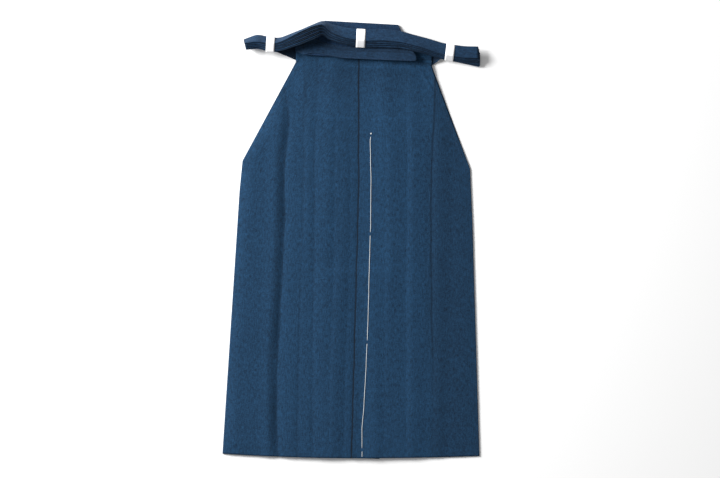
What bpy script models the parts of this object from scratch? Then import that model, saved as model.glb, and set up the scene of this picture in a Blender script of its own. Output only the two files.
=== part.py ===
"""Hakama trousers laid flat with the back upwards, straps folded across the waist.

Plan axes: x to the right, y from the hem towards the waist, z up from the surface.
x = 0 is the folded edge of the back pleat at the waist, y = 0 the lowest point of the hem.
The finished piece is moved so that its origin is the middle of its footprint, on the surface.
Sizes are in metres.
"""

import bisect
import math

import bmesh
import bpy

MM = 0.001

CLOTH_FINISH = {"colour": (0.022, 0.056, 0.115), "roughness": 0.9}
STRAP_FINISH = {"colour": (0.024, 0.056, 0.11), "roughness": 0.85}
BOARD_FINISH = {"colour": (0.019, 0.045, 0.098), "roughness": 0.85}
PAPER_FINISH = {"colour": (0.86, 0.86, 0.86), "roughness": 0.6}

# Cloth, laid in layers one above another
CLOTH = 1.0 * MM
AIR = 0.3 * MM
PITCH = CLOTH + AIR
FOLD_STEPS = 3  # points round a fold, between its two ends
EDGE_MARGIN = 2.5 * MM  # a layer is fully lifted this far before the edge below it
LEAST_STEP = 0.5 * MM

# Outline of the two halves
HEM_LEFT_X, HEM_RIGHT_X = -322 * MM, 285 * MM
HEM_LEFT_RISE, HEM_RIGHT_RISE = 10.5 * MM, 5 * MM
LEFT_OPENING_FOOT = (-274 * MM, 702 * MM)
RIGHT_OPENING_FOOT = (263 * MM, 683 * MM)
LEFT_BELOW_FOOT = (-281 * MM, 631 * MM)
FRONT_WAIST_LEFT = (-148 * MM, 935 * MM)
FRONT_WAIST_RIGHT = (173 * MM, 924 * MM)
WAISTBAND_DEPTH = 33 * MM
HEM_FADE = 300 * MM  # the hem's curve dies out this far up
WAIST_FADE = 800 * MM  # the waist's slope starts this far up

# The back pleat's edge runs straight down, then leans to the left below the seat
LEAN_START = 631 * MM
LEAN_AT_HEM = 17 * MM

# Stiffened back board, a trapezium turned clockwise by a few degrees
BOARD_BASE_LEFT = (-132 * MM, 951 * MM)
BOARD_BASE_RIGHT = (135 * MM, 936 * MM)
# The back's edge beside the right opening: it lies close inside the front's edge up to the
# waistband's lower edge, where it turns in to the board
RIGHT_OPENING_EDGE = [
    (217 * MM, 800 * MM), (202 * MM, 840 * MM), (190.7 * MM, 870 * MM), (182 * MM, 893 * MM),
    (177.2 * MM, 906 * MM), (172 * MM, 920 * MM), (169.5 * MM, 931 * MM), (139 * MM, 935.5 * MM),
]
BOARD_TOP_WIDTH = 175 * MM
BOARD_HEIGHT = 84 * MM
BOARD_THICKNESS = 5 * MM
BOARD_EDGE_ROUND = 1.6 * MM
BOARD_CORNER = 3 * MM

# Hidden inner sides of the two legs
CROTCH_Y = 430 * MM
SEAM_LAP = 19 * MM
BACK_PLEAT_DEPTH = 66 * MM

# Drape: how far a layer takes to come down from an edge below it
PLEAT_DRAPE = 8 * MM
BACK_DRAPE = 14 * MM
DRAPE_ALONG = 26 * MM

# Distances of the front pleat lines from the back pleat's edge: (at the hem, at the waist).
# "edge" is the fold seen from the front, "depth" the hidden fold behind it.
PLEAT_LINES = {
    "centre_edge": (20 * MM, 12 * MM),
    "second_edge": (62 * MM, 32 * MM),
    "centre_depth": (70 * MM, 60 * MM),
    "third_edge": (118 * MM, 66 * MM),
    "second_depth": (131 * MM, 112 * MM),
    "third_depth": (182 * MM, 176 * MM),
}
DEPTH_INSIDE_SIDE = 6 * MM  # a hidden fold stops this far inside the panel's side

# Broad lifts of the back's cloth between its creases: centre, half width, height
BACK_LIFTS = (
    {"at": -236 * MM, "half": 50 * MM, "height": 3.2 * MM},
    {"at": -156 * MM, "half": 22 * MM, "height": 1.6 * MM},
    {"at": -96 * MM, "half": 30 * MM, "height": 1.0 * MM},
    {"at": -30 * MM, "half": 26 * MM, "height": 0.9 * MM},
    {"at": 118 * MM, "half": 46 * MM, "height": 1.1 * MM},
    {"at": 222 * MM, "half": 42 * MM, "height": 2.2 * MM},
)

LEAST_LIFT = 0.35 * MM
LIFT_FROM_HEM, LIFT_TO_WAIST = 60 * MM, 900 * MM
LIFT_FADE_WAIST, LIFT_FADE_SIDE = 160 * MM, 25 * MM

# Straps
STRAP_WIDTH = 28 * MM
STRAP_THICKNESS = 2.0 * MM
STRAP_PITCH = STRAP_THICKNESS + AIR
STRAP_EDGE = 1.0 * MM  # the edges of a strap round off over this width
LOWEST_LEVEL, TOP_LEVEL = -1, 7  # layers of the folded straps, the roots being the lowest
TURN_STEPS = 3

# How the folded straps lie, from left to right: where (x, mm), the bundle's upper outline
# (y, mm), the tilt of its layers towards the waist (degrees), how far they slide over each
# other from the lowest to the top one (mm), and how loose they are.
BUNDLE = (
    {"x": -270, "outline": 989, "tilt": 68, "slide": 1, "loose": 0.9},
    {"x": -240, "outline": 1000, "tilt": 50, "slide": 2, "loose": 1.0},
    {"x": -207, "outline": 993, "tilt": 52, "slide": 5, "loose": 1.0},
    {"x": -186, "outline": 992, "tilt": 66, "slide": 5, "loose": 1.25},
    {"x": -138, "outline": 1010, "tilt": 79, "slide": 3, "loose": 1.7},
    {"x": -108, "outline": 1023, "tilt": 79, "slide": 3, "loose": 1.7},
    {"x": -84, "outline": 1033, "tilt": 69, "slide": 5, "loose": 1.45},
    {"x": -62, "outline": 1023, "tilt": 46, "slide": 8, "loose": 1.1},
    {"x": -30, "outline": 1015, "tilt": 28, "slide": 10, "loose": 1.0},
    {"x": 6, "outline": 1011, "tilt": 17, "slide": 13, "loose": 1.0},
    {"x": 62, "outline": 1010, "tilt": 16, "slide": 13, "loose": 1.0},
    {"x": 104, "outline": 1006, "tilt": 22, "slide": 10, "loose": 1.0},
    {"x": 145, "outline": 995, "tilt": 30, "slide": 8, "loose": 1.0},
    {"x": 196, "outline": 980, "tilt": 18, "slide": 6, "loose": 1.0},
    {"x": 217, "outline": 975, "tilt": 14, "slide": 5, "loose": 1.0},
    {"x": 248, "outline": 971, "tilt": 8, "slide": 11, "loose": 1.0},
    {"x": 282, "outline": 971, "tilt": 6, "slide": 18, "loose": 1.0},
)
SECTION_TURN = 0.7  # share of the bundle's slope that its cross sections turn by
REACH = 22 * MM  # the bundle clears what lies this near to a cross section
SUPPORT_MARGIN = 3 * MM
ROOM_UNDER_BUNDLE = 1.9 * MM  # for the paper bands
ROOT_LEFT, ROOT_RIGHT = -194 * MM, 200 * MM  # here the front straps join the bundle
ROOT_SAG = 1.2 * MM
ROOT_GAP = 1.2 * MM  # where they leave the waistband's ends
ROOT_ABOVE_WAIST = {-1: 3 * MM, 1: 0.5 * MM}  # on the left and on the right
ROOT_WIDTH = 34 * MM  # they open out where they are sewn on
ROOT_REACH = 20 * MM  # the bundle still lies on them this far inwards

# The back strap's stretch across the base of the board, from right to left: where (x, mm), its
# lower and upper edge (y, mm), and how many layers of itself it lies on
BASE_STRETCH = (
    {"x": 134, "low": 937, "high": 949, "over": 1},
    {"x": 132, "low": 936, "high": 955, "over": 1},
    {"x": 127, "low": 936, "high": 961, "over": 1},
    {"x": 118, "low": 936, "high": 965, "over": 1},
    {"x": 70, "low": 938, "high": 966, "over": 1},
    {"x": 46, "low": 939, "high": 967, "over": 0},
    {"x": 0, "low": 941, "high": 969, "over": 0},
    {"x": -40, "low": 943, "high": 971, "over": 0},
    {"x": -62, "low": 947, "high": 975, "over": 0},
    {"x": -84, "low": 952, "high": 980, "over": 0},
    {"x": -104, "low": 955, "high": 986, "over": 0},
    {"x": -118, "low": 954, "high": 987, "over": 0},
    {"x": -130, "low": 950, "high": 983, "over": 0},
    {"x": -140, "low": 957, "high": 979, "over": 0},
    {"x": -149, "low": 959, "high": 974, "over": 0},
)
BASE_STRETCH_UNDER = 80 * MM  # the folded-under end reaches back to this x

# Paper bands that keep the straps folded
PAPER = 0.6 * MM
PAPER_WIDTH, PAPER_REACH = 20 * MM, 12 * MM
PAPER_CLEARANCE = 0.4 * MM
PAPER_CORNERS = 12
PAPER_BANDS = {"left": -207 * MM, "centre": 6 * MM, "right": 217 * MM}

# Heights of the cross sections of the panels, above the hem
FRONT_ROWS = [0, 120, 400, 440, 480, 631, 683, 702, 780, 862, 885, 898, 911, 925, 940, 958]
BACK_ROWS = [0, 60, 160, 270, 380, 425, 447, 470, 540, 631, 683, 702, 750, 800, 840]
BACK_ROWS += [870, 893, 906, 920, 931, 936, 950]  # closer together where the waistband ends below
INNER_ROWS = [0, 140, 290, 430]
BACK_TOP_ROW = 950 * MM


def smooth(share):
    """A step that rises gently from 0 to 1 while share goes from 0 to 1."""
    share = min(max(share, 0.0), 1.0)
    return share * share * (3.0 - 2.0 * share)


def x_along(points, y):
    """x on the broken line through points, given as (x, y) from the lowest up."""
    for (x0, y0), (x1, y1) in zip(points, points[1:]):
        if y <= y1:
            return x0 + (x1 - x0) * (y - y0) / (y1 - y0)
    return points[-1][0]


def line_y(left, right, x):
    """y at x on the line through two points."""
    return left[1] + (right[1] - left[1]) * (x - left[0]) / (right[0] - left[0])


# ---- Lines of the plan -------------------------------------------------------------------


def pleat_edge(y):
    """The folded edge of the back pleat."""
    return -LEAN_AT_HEM * max(0.0, LEAN_START - y) / LEAN_START


def hem_y(x):
    """The hem curves up a little towards its corners."""
    if x < 0:
        return HEM_LEFT_RISE * (x / HEM_LEFT_X) ** 2
    return HEM_RIGHT_RISE * (x / HEM_RIGHT_X) ** 2


def front_left_side(y):
    return x_along([(HEM_LEFT_X, 0), LEFT_BELOW_FOOT, LEFT_OPENING_FOOT, FRONT_WAIST_LEFT], y)


def front_right_side(y):
    return x_along([(HEM_RIGHT_X, 0), RIGHT_OPENING_FOOT, FRONT_WAIST_RIGHT], y)


def back_left_side(y):
    return x_along([(HEM_LEFT_X, 0), LEFT_BELOW_FOOT, LEFT_OPENING_FOOT, BOARD_BASE_LEFT], y)


def back_right_side(y):
    below = [(HEM_RIGHT_X, 0), RIGHT_OPENING_FOOT]
    return x_along(below + RIGHT_OPENING_EDGE + [BOARD_BASE_RIGHT], y)


def waist_low_y(x):
    return line_y(FRONT_WAIST_LEFT, FRONT_WAIST_RIGHT, x)


def board_base_y(x):
    return line_y(BOARD_BASE_LEFT, BOARD_BASE_RIGHT, x)


def pleat_distance(name, y):
    at_hem, at_waist = PLEAT_LINES[name]
    return at_hem + (at_waist - at_hem) * min(y / FRONT_WAIST_LEFT[1], 1.0)


def left_line(name, inset=0.0):
    """A front pleat line of the left half, never outside the panel's own side."""

    def x_at(y):
        x = pleat_edge(y) - pleat_distance(name, y) + inset
        return max(x, front_left_side(y) + DEPTH_INSIDE_SIDE)

    return x_at


def right_line(name):
    def x_at(y):
        x = pleat_edge(y) + pleat_distance(name, y)
        return min(x, front_right_side(y) - DEPTH_INSIDE_SIDE)

    return x_at


def beside_pleat(distance):
    return lambda y: pleat_edge(y) + distance


# ---- Layers ------------------------------------------------------------------------------


class Layer:
    """One flat stretch of cloth between two lines of the plan, with others laid over it."""

    def __init__(self, left, right, bottom=None, top=None, drape=PLEAT_DRAPE, lifted=False):
        self.left = left
        self.right = right
        self.bottom = bottom
        self.top = top
        self.drape = drape
        self.lifted = lifted

    def cover(self, x, y, drape):
        """1 over this layer, falling to 0 within drape of its edges."""
        share = smooth((x - self.left(y) + EDGE_MARGIN) / drape + 1.0)
        share *= smooth((self.right(y) + EDGE_MARGIN - x) / drape + 1.0)
        if self.bottom:
            share *= smooth((y - self.bottom(x) + EDGE_MARGIN) / DRAPE_ALONG + 1.0)
        if self.top:
            share *= smooth((self.top(x) + EDGE_MARGIN - y) / DRAPE_ALONG + 1.0)
        return share


LINES = {f"left_{name}": left_line(name) for name in PLEAT_LINES}
LINES.update({f"right_{name}": right_line(name) for name in PLEAT_LINES})
LINES["front_seam"] = left_line("centre_depth", inset=SEAM_LAP)
LINES["back_seam"] = beside_pleat(BACK_PLEAT_DEPTH - SEAM_LAP)
LINES["back_depth"] = beside_pleat(BACK_PLEAT_DEPTH)


def crotch_line(_x):
    return CROTCH_Y


def waistband_layer():
    return Layer(lambda y: FRONT_WAIST_LEFT[0], lambda y: FRONT_WAIST_RIGHT[0], bottom=waist_low_y)


# From the surface upwards
LAYERS = {
    "waistband_under": waistband_layer(),
    "left_outer": Layer(front_left_side, LINES["left_third_edge"]),
    "left_third_back": Layer(LINES["left_third_depth"], LINES["left_third_edge"]),
    "left_second_front": Layer(LINES["left_third_depth"], LINES["left_second_edge"]),
    "left_second_back": Layer(LINES["left_second_depth"], LINES["left_second_edge"]),
    "left_centre_front": Layer(LINES["left_second_depth"], LINES["left_centre_edge"]),
    "left_centre_back": Layer(LINES["left_centre_depth"], LINES["left_centre_edge"]),
    "right_outer": Layer(LINES["right_third_edge"], front_right_side),
    "right_third_back": Layer(LINES["right_third_edge"], LINES["right_third_depth"]),
    "right_second_front": Layer(LINES["right_second_edge"], LINES["right_third_depth"]),
    "right_second_back": Layer(LINES["right_second_edge"], LINES["right_second_depth"]),
    "right_centre": Layer(LINES["front_seam"], LINES["right_second_depth"]),
    "inner_leg_right": Layer(LINES["front_seam"], LINES["back_depth"], top=crotch_line),
    "inner_leg_left": Layer(LINES["left_centre_depth"], LINES["back_seam"], top=crotch_line),
    "waistband_over": waistband_layer(),
    "back_left": Layer(back_left_side, LINES["back_seam"], drape=BACK_DRAPE, lifted=True),
    "back_right_under": Layer(pleat_edge, LINES["back_depth"], drape=BACK_DRAPE, lifted=True),
    "back_right_over": Layer(pleat_edge, back_right_side, drape=BACK_DRAPE, lifted=True),
}
ORDER = list(LAYERS)


def lift(x, y):
    """The broad lifts of the back's cloth, dying out towards the hem and the waist."""
    fade = smooth(y / LIFT_FROM_HEM) * smooth((LIFT_TO_WAIST - y) / LIFT_FADE_WAIST)
    off = x - pleat_edge(y)
    room = min(x - back_left_side(y), back_right_side(y) - x)
    fade *= smooth(room / LIFT_FADE_SIDE)
    total = 0.0
    for hump in BACK_LIFTS:
        total += hump["height"] * smooth(1.0 - abs(off - hump["at"]) / hump["half"])
    return LEAST_LIFT + total * fade


def layer_z(name, x, y):
    """Height of the middle of a layer's cloth over the surface."""
    layer = LAYERS[name]
    z = CLOTH / 2
    for lower in ORDER[: ORDER.index(name)]:
        z += PITCH * LAYERS[lower].cover(x, y, layer.drape)
    return z + (lift(x, y) if layer.lifted else 0.0)


def pile_top(x, y):
    """Height of the top of all the layers at a place inside the outline."""
    z = sum(PITCH * LAYERS[name].cover(x, y, BACK_DRAPE) for name in ORDER)
    return z + lift(x, y)


def row_y(station, x, top_station):
    """y of a cross section at x: it follows the hem's curve low down and the waist high up."""
    low = hem_y(x) * max(0.0, 1.0 - station / HEM_FADE)
    share = (station - WAIST_FADE) / (top_station - WAIST_FADE)
    slope = waist_low_y(x) - waist_low_y(0.0)
    return station + low + slope * smooth(share)


def spread(marks, first, last):
    """Marks in order between two ends, none closer than the least step."""
    inner = sorted(min(max(mark, first), last) for mark in marks)
    least = min(LEAST_STEP, 0.8 * (last - first) / (len(inner) + 1))
    values = [first] + inner + [last]
    for i in range(1, len(values) - 1):
        values[i] = max(values[i], values[i - 1] + least)
    values[-1] = last
    for i in range(len(values) - 2, 0, -1):
        values[i] = min(values[i], values[i + 1] - least)
    return values


def drop_reaches(layer, edge, side, y):
    """Whether a layer comes down from an edge somewhere between its own left and right line."""
    foot = edge - side * EDGE_MARGIN
    low, high = sorted((foot, foot - side * layer.drape))
    return high > layer.left(y) + LEAST_STEP and low < layer.right(y) - LEAST_STEP


def edges_under(name, stations):
    """The edges of lower layers that this layer passes over, as (line, side the cloth is on)."""
    layer, found = LAYERS[name], []
    for lower in ORDER[: ORDER.index(name)]:
        if lower.startswith("waistband"):
            continue
        for line, side in ((LAYERS[lower].left, 1), (LAYERS[lower].right, -1)):
            reaches = any(drop_reaches(layer, line(y), side, y) for y in stations)
            if reaches and (line, side) not in found:
                found.append((line, side))
    return found


def across(name, station, edges, extra, top_station):
    """(x, y) samples of a layer from its left line to its right one."""
    layer = LAYERS[name]
    first, last = layer.left(station), layer.right(station)
    first = layer.left(row_y(station, first, top_station))
    last = layer.right(row_y(station, last, top_station))
    marks = []
    for line, side in edges:
        foot = line(station) - side * EDGE_MARGIN
        marks += [foot, foot - side * 0.5 * layer.drape, foot - side * layer.drape]
    marks += [first + share * (last - first) for share in extra]
    return [(x, row_y(station, x, top_station)) for x in spread(marks, first, last)]


def panel_rows(parts, stations):
    """Cross sections of a folded panel. parts lists (layer, direction, extra samples) in turn."""
    top = stations[-1]
    edges = {name: edges_under(name, stations) for name, _, _ in parts}
    rows = []
    for station in stations:
        path = []
        for name, direction, extra in parts:
            samples = across(name, station, edges[name], extra, top)[::direction]
            stretch = [(x, y, layer_z(name, x, y)) for x, y in samples]
            if path:
                path += fold(path[-1], stretch[0], -direction)
            path += stretch
        rows.append(path)
    return rows


def fold(start, end, outward):
    """Points round a fold between two stretches that lie one above the other."""
    radius = (end[2] - start[2]) / 2
    points = []
    for step in range(1, FOLD_STEPS + 1):
        angle = math.pi * step / (FOLD_STEPS + 1)
        share = step / (FOLD_STEPS + 1)
        x = start[0] + (end[0] - start[0]) * share + outward * radius * math.sin(angle)
        y = start[1] + (end[1] - start[1]) * share
        points.append((x, y, start[2] + radius * (1.0 - math.cos(angle))))
    return points


# ---- Meshes ------------------------------------------------------------------------------


def add_object(name, points, faces, finish):
    mesh = bpy.data.meshes.new(name)
    mesh.from_pydata(points, [], faces)
    mesh.materials.append(make_material(name, finish))
    shell = bmesh.new()
    shell.from_mesh(mesh)
    bmesh.ops.recalc_face_normals(shell, faces=shell.faces)
    shell.to_mesh(mesh)
    shell.free()
    mesh.shade_smooth()
    mesh.set_sharp_from_angle(angle=math.radians(40))
    made = bpy.data.objects.new(name, mesh)
    bpy.context.scene.collection.objects.link(made)
    return made


def section_normals(path, axes):
    """Unit normals of a path, in the plane of the two axes given by number."""
    a, b = axes
    normals = []
    for i in range(len(path)):
        before, after = path[max(i - 1, 0)], path[min(i + 1, len(path) - 1)]
        da, db = after[a] - before[a], after[b] - before[b]
        length = math.hypot(da, db)
        normals.append((-db / length, da / length))
    return normals


def wall(name, rows, finish, axes=(0, 2)):
    """A closed cloth wall round the middle surface given by rows of points."""
    a, b = axes
    sides = []
    for offset in (CLOTH / 2, -CLOTH / 2):
        side = []
        for path in rows:
            shifted = []
            for point, normal in zip(path, section_normals(path, axes)):
                moved = list(point)
                moved[a] += normal[0] * offset
                moved[b] += normal[1] * offset
                shifted.append(moved)
            side.append(shifted)
        sides.append(side)
    count, width = len(rows), len(rows[0])
    points = [point for side in sides for row in side for point in row]

    def at(side, row, column):
        return (side * count + row) * width + column

    faces = []
    for row in range(count - 1):
        for column in range(width - 1):
            for side in (0, 1):
                ring = [at(side, row, column), at(side, row, column + 1)]
                ring += [at(side, row + 1, column + 1), at(side, row + 1, column)]
                faces.append(ring if side else ring[::-1])
        for column in (0, width - 1):
            ring = [at(0, row, column), at(1, row, column)]
            faces.append(ring + [at(1, row + 1, column), at(0, row + 1, column)])
    for row in (0, count - 1):
        for column in range(width - 1):
            ring = [at(0, row, column), at(0, row, column + 1)]
            faces.append(ring + [at(1, row, column + 1), at(1, row, column)])
    return add_object(name, points, faces, finish)


def split(points, quad):
    """Two triangles, cut along the diagonal that runs the same way on every layer."""
    (ax, ay, _), (bx, by, _), (cx, cy, _), (dx, dy, _) = (points[i] for i in quad)
    a, b, c, d = quad
    if (cx - ax) * (cy - ay) < (dx - bx) * (dy - by):
        return [[a, b, c], [a, c, d]]
    return [[a, b, d], [b, c, d]]


def tube(name, sections, finish, closed=False):
    """A solid through closed sections of points, capped at its ends unless it is closed."""
    width = len(sections[0])
    points = [point for section in sections for point in section]
    faces = []
    for i in range(len(sections) if closed else len(sections) - 1):
        here, after = i * width, (i + 1) % len(sections) * width
        for j in range(width):
            k = (j + 1) % width
            faces += split(points, [here + j, here + k, after + k, after + j])
    if not closed:
        faces.append(list(range(width)))
        faces.append([(len(sections) - 1) * width + j for j in reversed(range(width))])
    return add_object(name, points, faces, finish)


def make_material(name, finish):
    material = bpy.data.materials.new(name)
    material.use_nodes = True
    shader = material.node_tree.nodes["Principled BSDF"]
    shader.inputs["Base Color"].default_value = (*finish["colour"], 1.0)
    shader.inputs["Roughness"].default_value = finish["roughness"]
    shader.inputs["Metallic"].default_value = 0.0
    return material


# ---- Panels ------------------------------------------------------------------------------


def build_front():
    stations = [y * MM for y in FRONT_ROWS]
    left = [("left_outer", 1, [0.35, 0.7])]
    left += [("left_third_back", -1, []), ("left_second_front", 1, [])]
    left += [("left_second_back", -1, []), ("left_centre_front", 1, [])]
    left += [("left_centre_back", -1, [])]
    right = [("right_outer", -1, [0.35, 0.7])]
    right += [("right_third_back", 1, []), ("right_second_front", -1, [])]
    right += [("right_second_back", 1, []), ("right_centre", -1, [])]
    return [
        wall("front_panel_left", panel_rows(left, stations), CLOTH_FINISH),
        wall("front_panel_right", panel_rows(right, stations), CLOTH_FINISH),
    ]


def build_back():
    stations = [y * MM for y in BACK_ROWS]
    left = [("back_left", 1, [0.08, 0.16, 0.24, 0.42, 0.62])]
    right = [("back_right_under", -1, []), ("back_right_over", 1, [0.42, 0.76, 0.84, 0.92])]
    return [
        wall("back_panel_left", panel_rows(left, stations), CLOTH_FINISH),
        wall("back_panel_right", panel_rows(right, stations), CLOTH_FINISH),
    ]


def build_inner_legs():
    stations = [y * MM for y in INNER_ROWS]
    return [
        wall(f"inner_leg_{side}", panel_rows([(f"inner_leg_{side}", 1, [0.5])], stations), CLOTH_FINISH)
        for side in ("left", "right")
    ]


def build_waistband():
    """A strip folded over the top edge of the front panels."""
    station = line_y(FRONT_WAIST_LEFT, FRONT_WAIST_RIGHT, 0.0) + WAISTBAND_DEPTH / 2
    edges = edges_under("waistband_over", [station])
    rows = []
    for x, _ in across("waistband_over", station, edges, [], station + WAISTBAND_DEPTH):
        low = waist_low_y(x)
        high = low + WAISTBAND_DEPTH
        under = [(x, y, layer_z("waistband_under", x, y)) for y in (low, (low + high) / 2, high)]
        over = [(x, y, layer_z("waistband_over", x, y)) for y in (high, (low + high) / 2, low)]
        turn = fold((high, 0.0, under[-1][2]), (high, 0.0, over[0][2]), 1)
        rows.append(under + [(x, y, z) for y, _, z in turn] + over)
    return wall("front_waistband", rows, CLOTH_FINISH, axes=(1, 2))


# ---- Back board --------------------------------------------------------------------------


def supports():
    """Where the layers of cloth end under the board, and how high they reach."""
    for step in range(49):
        x = BOARD_BASE_LEFT[0] + step / 48 * (BOARD_BASE_RIGHT[0] - BOARD_BASE_LEFT[0])
        band_top = waist_low_y(x) + WAISTBAND_DEPTH
        yield x, band_top, layer_z("waistband_over", x, band_top) + PITCH - CLOTH / 2
        back_top = row_y(BACK_TOP_ROW, x, BACK_TOP_ROW)
        yield x, back_top, pile_top(x, back_top)


class Board:
    """The stiff board: it lies on the waist's layers and slopes down to the surface."""

    def __init__(self):
        run = BOARD_BASE_RIGHT[0] - BOARD_BASE_LEFT[0]
        rise = BOARD_BASE_RIGHT[1] - BOARD_BASE_LEFT[1]
        length = math.hypot(run, rise)
        self.along = (run / length, rise / length)
        self.up = (-rise / length, run / length)
        self.base_half = length / 2
        middle = [(a + b) / 2 for a, b in zip(BOARD_BASE_LEFT, BOARD_BASE_RIGHT)]
        self.base_middle = middle
        self.slope = max(height / (BOARD_HEIGHT - self.local(x, y)[1]) for x, y, height in supports())

    def local(self, x, y):
        """A place in the board's own axes: along its base, and away from it."""
        dx, dy = x - self.base_middle[0], y - self.base_middle[1]
        return dx * self.along[0] + dy * self.along[1], dx * self.up[0] + dy * self.up[1]

    def under_z(self, x, y):
        return AIR + (BOARD_HEIGHT - self.local(x, y)[1]) * self.slope

    def half_width(self, away):
        return self.base_half + (BOARD_TOP_WIDTH / 2 - self.base_half) * away / BOARD_HEIGHT

    def holds(self, x, y, margin):
        across_base, away = self.local(x, y)
        if not -margin <= away <= BOARD_HEIGHT + margin:
            return False
        return abs(across_base) <= self.half_width(min(max(away, 0.0), BOARD_HEIGHT)) + margin

    def build(self):
        sections = []
        for inset, height in (
            (BOARD_EDGE_ROUND, 0.0),
            (0.0, BOARD_EDGE_ROUND),
            (0.0, BOARD_THICKNESS - BOARD_EDGE_ROUND),
            (BOARD_EDGE_ROUND, BOARD_THICKNESS),
        ):
            ring = []
            for away in (inset, BOARD_CORNER, BOARD_HEIGHT - BOARD_CORNER, BOARD_HEIGHT - inset):
                half = self.half_width(away) - inset
                if away in (inset, BOARD_HEIGHT - inset):
                    half -= BOARD_CORNER - inset
                ring.append((half, away))
            ring += [(-half, away) for half, away in reversed(ring)]
            section = []
            for a, b in ring:
                x = self.base_middle[0] + a * self.along[0] + b * self.up[0]
                y = self.base_middle[1] + a * self.along[1] + b * self.up[1]
                section.append((x, y, self.under_z(x, y) + height))
            sections.append(section)
        return tube("back_board", sections, BOARD_FINISH)


# ---- Straps ------------------------------------------------------------------------------

HALF_WIDTH, HALF_THICKNESS = STRAP_WIDTH / 2, STRAP_THICKNESS / 2


def strap_profile(half_width=HALF_WIDTH):
    """Cross section of a strap: (across its width, through its thickness)."""
    flat = half_width - STRAP_EDGE
    return [
        (flat, HALF_THICKNESS), (-flat, HALF_THICKNESS), (-half_width, 0.0),
        (-flat, -HALF_THICKNESS), (flat, -HALF_THICKNESS), (half_width, 0.0),
    ]


def section_of(frame, level, flip=1):
    """The cross section of one layer at a frame of the bundle."""
    first, hop, _, width_axis, normal = frame
    count = level - LOWEST_LEVEL
    return [
        tuple(first[i] + hop[i] * count + width_axis[i] * a + normal[i] * b * flip for i in range(3))
        for a, b in strap_profile()
    ]


def interpolated(table, name, x):
    """A column of a table at x, along straight lines between its rows."""
    places = [row["x"] * MM for row in table]
    i = min(max(bisect.bisect(places, x), 1), len(places) - 1)
    share = (x - places[i - 1]) / (places[i] - places[i - 1])
    return table[i - 1][name] + (table[i][name] - table[i - 1][name]) * share


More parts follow.
